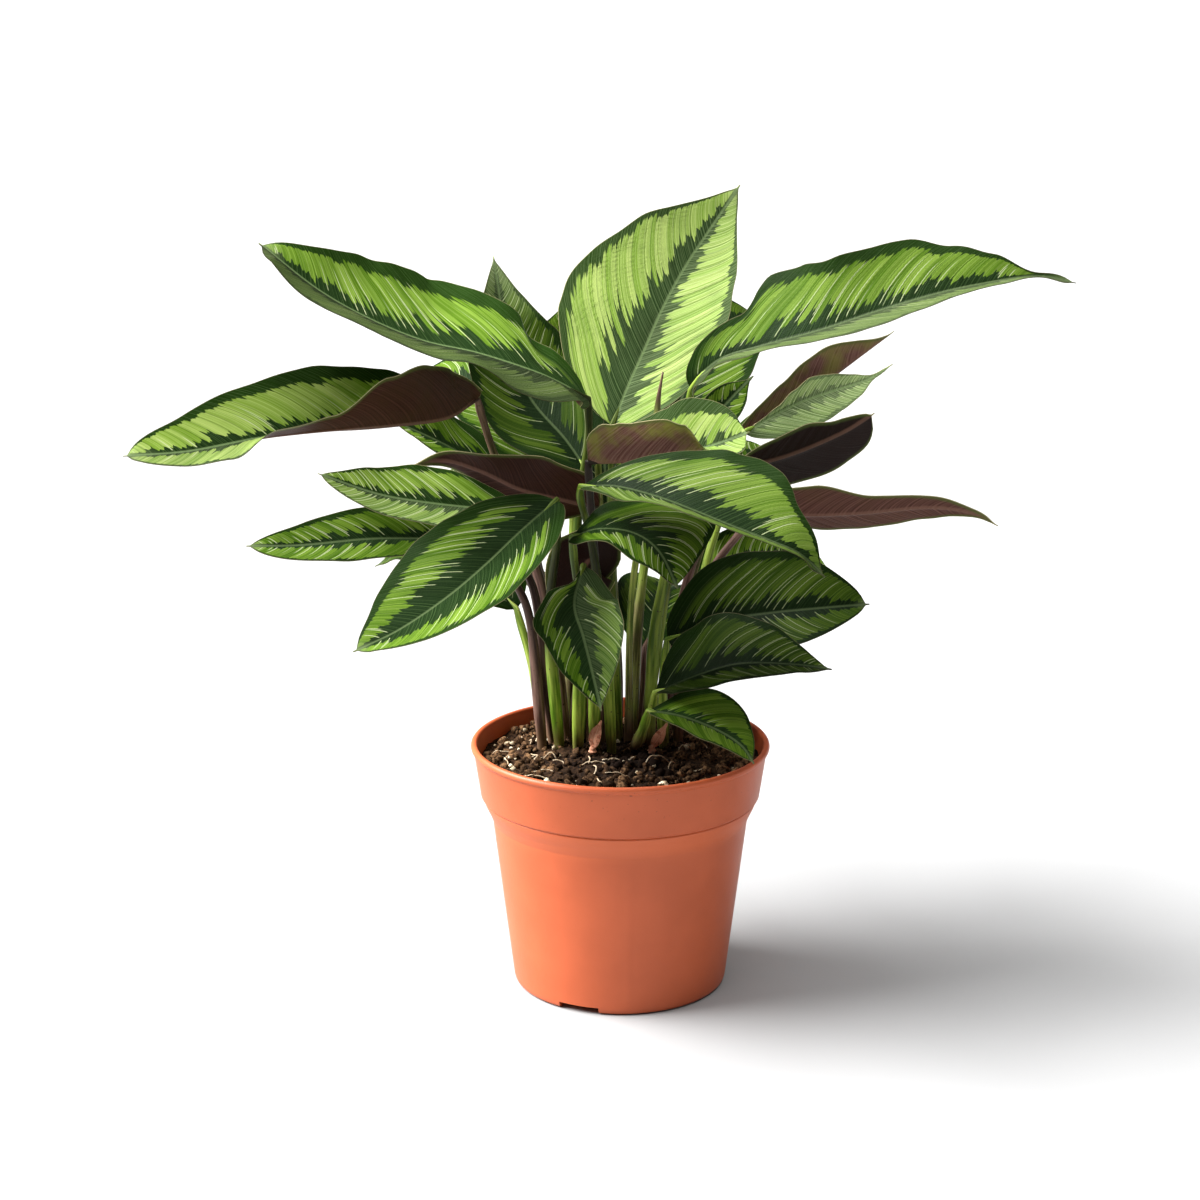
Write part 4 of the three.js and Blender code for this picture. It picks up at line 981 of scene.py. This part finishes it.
def add_pot():
    turn = around(POT_SIDES)
    from_seam = np.angle(np.exp(1j * (turn - math.radians(SEAM_TURN))))
    rings = []
    for r, z in rounded(POT_PROFILE, ROUNDING)[1:-1]:
        seam = SEAM_H * bell(from_seam * r, SEAM_W) if FOOT_R <= r <= RIM_R - 1.2 else 0
        rings.append(ring(turn, r + seam, z))
    points, faces = closed((0, 0, 0), rings, (0, 0, FLOOR_Z))
    piece = make_object("pot_body", points, faces, [POT], {}, node="pot")

    tools = []
    box_faces = [(0, 1, 3, 2), (4, 6, 7, 5), (0, 4, 5, 1), (2, 3, 7, 6), (0, 2, 6, 4), (1, 5, 7, 3)]
    for i in range(NOTCHES):
        spin = Matrix.Rotation(math.radians(NOTCH_TURN + 360 * i / NOTCHES), 3, "Z")
        corners = [
            spin @ Vector((x, y, z)) for x in (RECESS_R - 4, FOOT_R + 8)
            for y in (-NOTCH_W / 2, NOTCH_W / 2) for z in (-NOTCH_H, NOTCH_H)]
        tools.append(add_mesh(f"notch{i}", corners, box_faces))
    for i, (x, y, z) in enumerate(ring(around(DRAINS), DRAIN_AT, 0.5)):
        points, faces = tube_mesh([(x, y, z), (x, y, FLOOR_Z + 1)], [DRAIN_R, DRAIN_R], 32)
        tools.append(add_mesh(f"drain{i}", points, faces))
    cut(piece, tools)
    piece.data.set_sharp_from_angle(angle=math.radians(SHARP))


# ---- soil ----
def soil_height(x, y):
    """Level of the potting mix at a place: a low mound, lumpy, higher at the stems."""
    r = math.hypot(x, y)
    level = SOIL_EDGE_Z + (SOIL_TOP_Z - SOIL_EDGE_Z) * (1 - smoothstep(r, MOUND_R, MOUND_END))
    lumps = noise.fractal(Vector((x, y, 3.0)) * 0.07, 0.9, 2.1, 4)
    fine = noise.fractal(Vector((x, y, 9.0)) * 0.35, 0.8, 2.0, 3)
    return float(level) + LUMPS_H * lumps + FINE_LUMPS_H * fine - SETTLED


def painted_soil_shade(x, y):
    """How much painted shade darkens the mix at a place."""
    return 0.6 * bell(math.hypot(x - SOIL_SHADE_AT[0], y - SOIL_SHADE_AT[1]), SOIL_SHADE_R)


def add_soil():
    turn = around(SOIL_SIDES)
    rings = [ring(turn, r, z) for r, z in SOIL_PROFILE]
    for k in range(SOIL_RINGS):
        flat = ring(turn, SOIL_R * (1 - k / SOIL_RINGS), 0)
        rings.append([(x, y, soil_height(x, y)) for x, y, _ in flat])
    points, faces = closed((0, 0, SOIL_PROFILE[0][1]), rings, (0, 0, soil_height(0, 0)))
    # painted shade in front of the stems
    grain = [(0.2, painted_soil_shade(x, y), 0) for x, y, _ in points]
    make_object("potting_mix", points, faces, [EARTH], {"grain": grain}, node="soil")


def pebble(size, draw):
    """A small irregular lump: points round the origin, and its faces."""
    stretch = size * np.array([draw.uniform(0.55, 1.35) for _ in range(3)])
    rings = []
    for i in range(1, LUMP_RINGS + 1):
        tilt = math.pi * i / (LUMP_RINGS + 1)
        turn = around(LUMP_SIDES) + math.pi / LUMP_SIDES * (i % 2)
        r = np.array([draw.uniform(0.6, 1.25) for _ in turn])
        rings.append(ring(turn, r * math.sin(tilt), -r * math.cos(tilt)) * stretch)
    return closed((0, 0, -stretch[2]), rings, (0, 0, stretch[2]))


def random_place(reach, draw):
    """A random x and y within reach of the middle."""
    r, a = reach * math.sqrt(draw.random()), draw.uniform(0, 2 * math.pi)
    return r * math.cos(a), r * math.sin(a)


def scatter(name, count, sizes, material, seed, sink, shade_dark=1, spots=()):
    """Lumps strewn over the soil, joined in one mesh: denser at spots of x, y, spread."""
    draw = random.Random(seed)
    points, faces, grain = [], [], []
    placed = 0
    while placed < count:
        x, y = random_place(SOIL_R - 2.5, draw)
        near = [bell(math.hypot(x - sx, y - sy), spread) for sx, sy, spread in spots]
        if spots and draw.random() > max(near) + STRAY:
            continue
        size = draw.uniform(sizes[0], 1) ** 2 * sizes[1]
        lump, sides = pebble(size, draw)
        axis = Vector((draw.random(), draw.random(), 0.3)).normalized()
        spin = np.array(Matrix.Rotation(draw.uniform(0, 6.28), 3, axis))
        faces += shifted(sides, len(points))
        points += list(lump @ spin.T + (x, y, soil_height(x, y) + size * (1 - 2 * sink) * 0.6))
        # painted shade in front of the stems, for the lumps that take it
        grain += [(draw.random(), shade_dark * painted_soil_shade(x, y), 0)] * len(lump)
        placed += 1
    make_object(name, points, faces, [material], {"grain": grain})


def add_fibres(seed):
    """Pale root threads and bits of fibre lying over the soil."""
    draw = random.Random(seed)
    points, faces, grain = [], [], []
    for _ in range(FIBRES):
        x, y = random_place(FIBRE_REACH, draw)
        heading, size = draw.uniform(0, 2 * math.pi), draw.uniform(*FIBRE_R)
        steps = draw.randint(5, 12)
        arch = draw.uniform(0, 3.5)
        line = []
        for i in range(steps):
            lift = arch * math.sin(math.pi * i / (steps - 1))
            line.append((x, y, soil_height(x, y) + 0.5 + lift))
            heading += draw.uniform(-0.6, 0.6)
            x += FIBRE_STEP * math.cos(heading)
            y += FIBRE_STEP * math.sin(heading)
        if math.hypot(x, y) > SOIL_R - 3:
            continue
        smooth, _ = along(line, np.linspace(0, 1, steps * 3))
        thread, sides = tube_mesh(smooth, np.full(len(smooth), size), 6)
        faces += shifted(sides, len(points))
        points += list(thread)
        grain += [(draw.random() * 0.6, 0, 0)] * len(thread)
    make_object("soil_fibres", points, faces, [FIBRE], {"grain": grain})


# ---- stage ----
def add_sun(name, strength, softness, turn, rise):
    """A sun turn degrees round from the front and rise degrees up."""
    light = bpy.data.lights.new(name, "SUN")
    light.energy = strength
    light.angle = math.radians(softness)
    turn, rise = math.radians(turn), math.radians(rise)
    toward = Vector((math.sin(turn) * math.cos(rise), -math.cos(turn) * math.cos(rise), math.sin(rise)))
    link(name, light).rotation_euler = toward.to_track_quat("Z", "Y").to_euler()


def add_stage():
    side, drop = 40000, 0.2
    corners = [(-side, -side, -drop), (side, -side, -drop), (side, side, -drop), (-side, side, -drop)]
    floor = add_mesh("floor", corners, [(0, 1, 2, 3)])
    floor.data.materials.append(Shader("floor", 0.9, 0.0).finish((0.312, 0.312, 0.312, 1.0)))

    add_sun("key", strength=13.5, softness=44, turn=-92, rise=44)
    add_sun("overhead", strength=3.7, softness=90, turn=-95, rise=84)
    world = bpy.data.worlds.new("studio")
    world.use_nodes = True
    world.node_tree.nodes["Background"].inputs["Color"].default_value = (1, 1, 1, 1)
    world.node_tree.nodes["Background"].inputs["Strength"].default_value = 0.1
    bpy.context.scene.world = world

    lens = bpy.data.cameras.new("camera")
    lens.sensor_width = 36.0
    lens.lens = 79.668
    lens.clip_end = 100.0
    camera = link("camera", lens)
    camera.location = (-0.0096, -1.2, 0.508)
    camera.rotation_euler = (math.radians(90 - 14.95), 0, 0)
    bpy.context.scene.camera = camera
    bpy.context.scene.view_settings.view_transform = "Standard"


UPPER = upper_material()
UNDER = under_material()
STEM = stem_material()
DRY = dry_material()
POT = pot_material()
EARTH = earth_material("potting_mix", rgb(22, 13, 7), rgb(66, 46, 30), 0.95)
CRUMB = earth_material("soil_crumb", rgb(40, 24, 13), rgb(130, 98, 68), 0.95)
PERLITE = earth_material("perlite", rgb(204, 182, 146), rgb(238, 224, 196), 0.8)
FIBRE = earth_material("fibre", rgb(176, 150, 118), rgb(216, 198, 170), 0.8)

add_pot()
add_soil()
scatter("soil_crumbs", CRUMBS, CRUMB_SIZES, CRUMB, seed=11, sink=0.35)
scatter("soil_perlite", PERLITES, PERLITE_SIZES, PERLITE, seed=12, sink=0.2, shade_dark=0,
        spots=PERLITE_SPOTS)
add_fibres(seed=13)
for index, leaf in enumerate(LEAVES):
    seed = SEED + 31 * index
    add_leaf(leaf, index * 0.618 % 1, seed, seed, STEM_R, [UPPER, UNDER, STEM])
for index, leaf in enumerate(SCALES):
    add_leaf(leaf, 0, SEED + 500 + index, 3, STEM_TOP_R, [DRY])
add_spear()
add_stage()
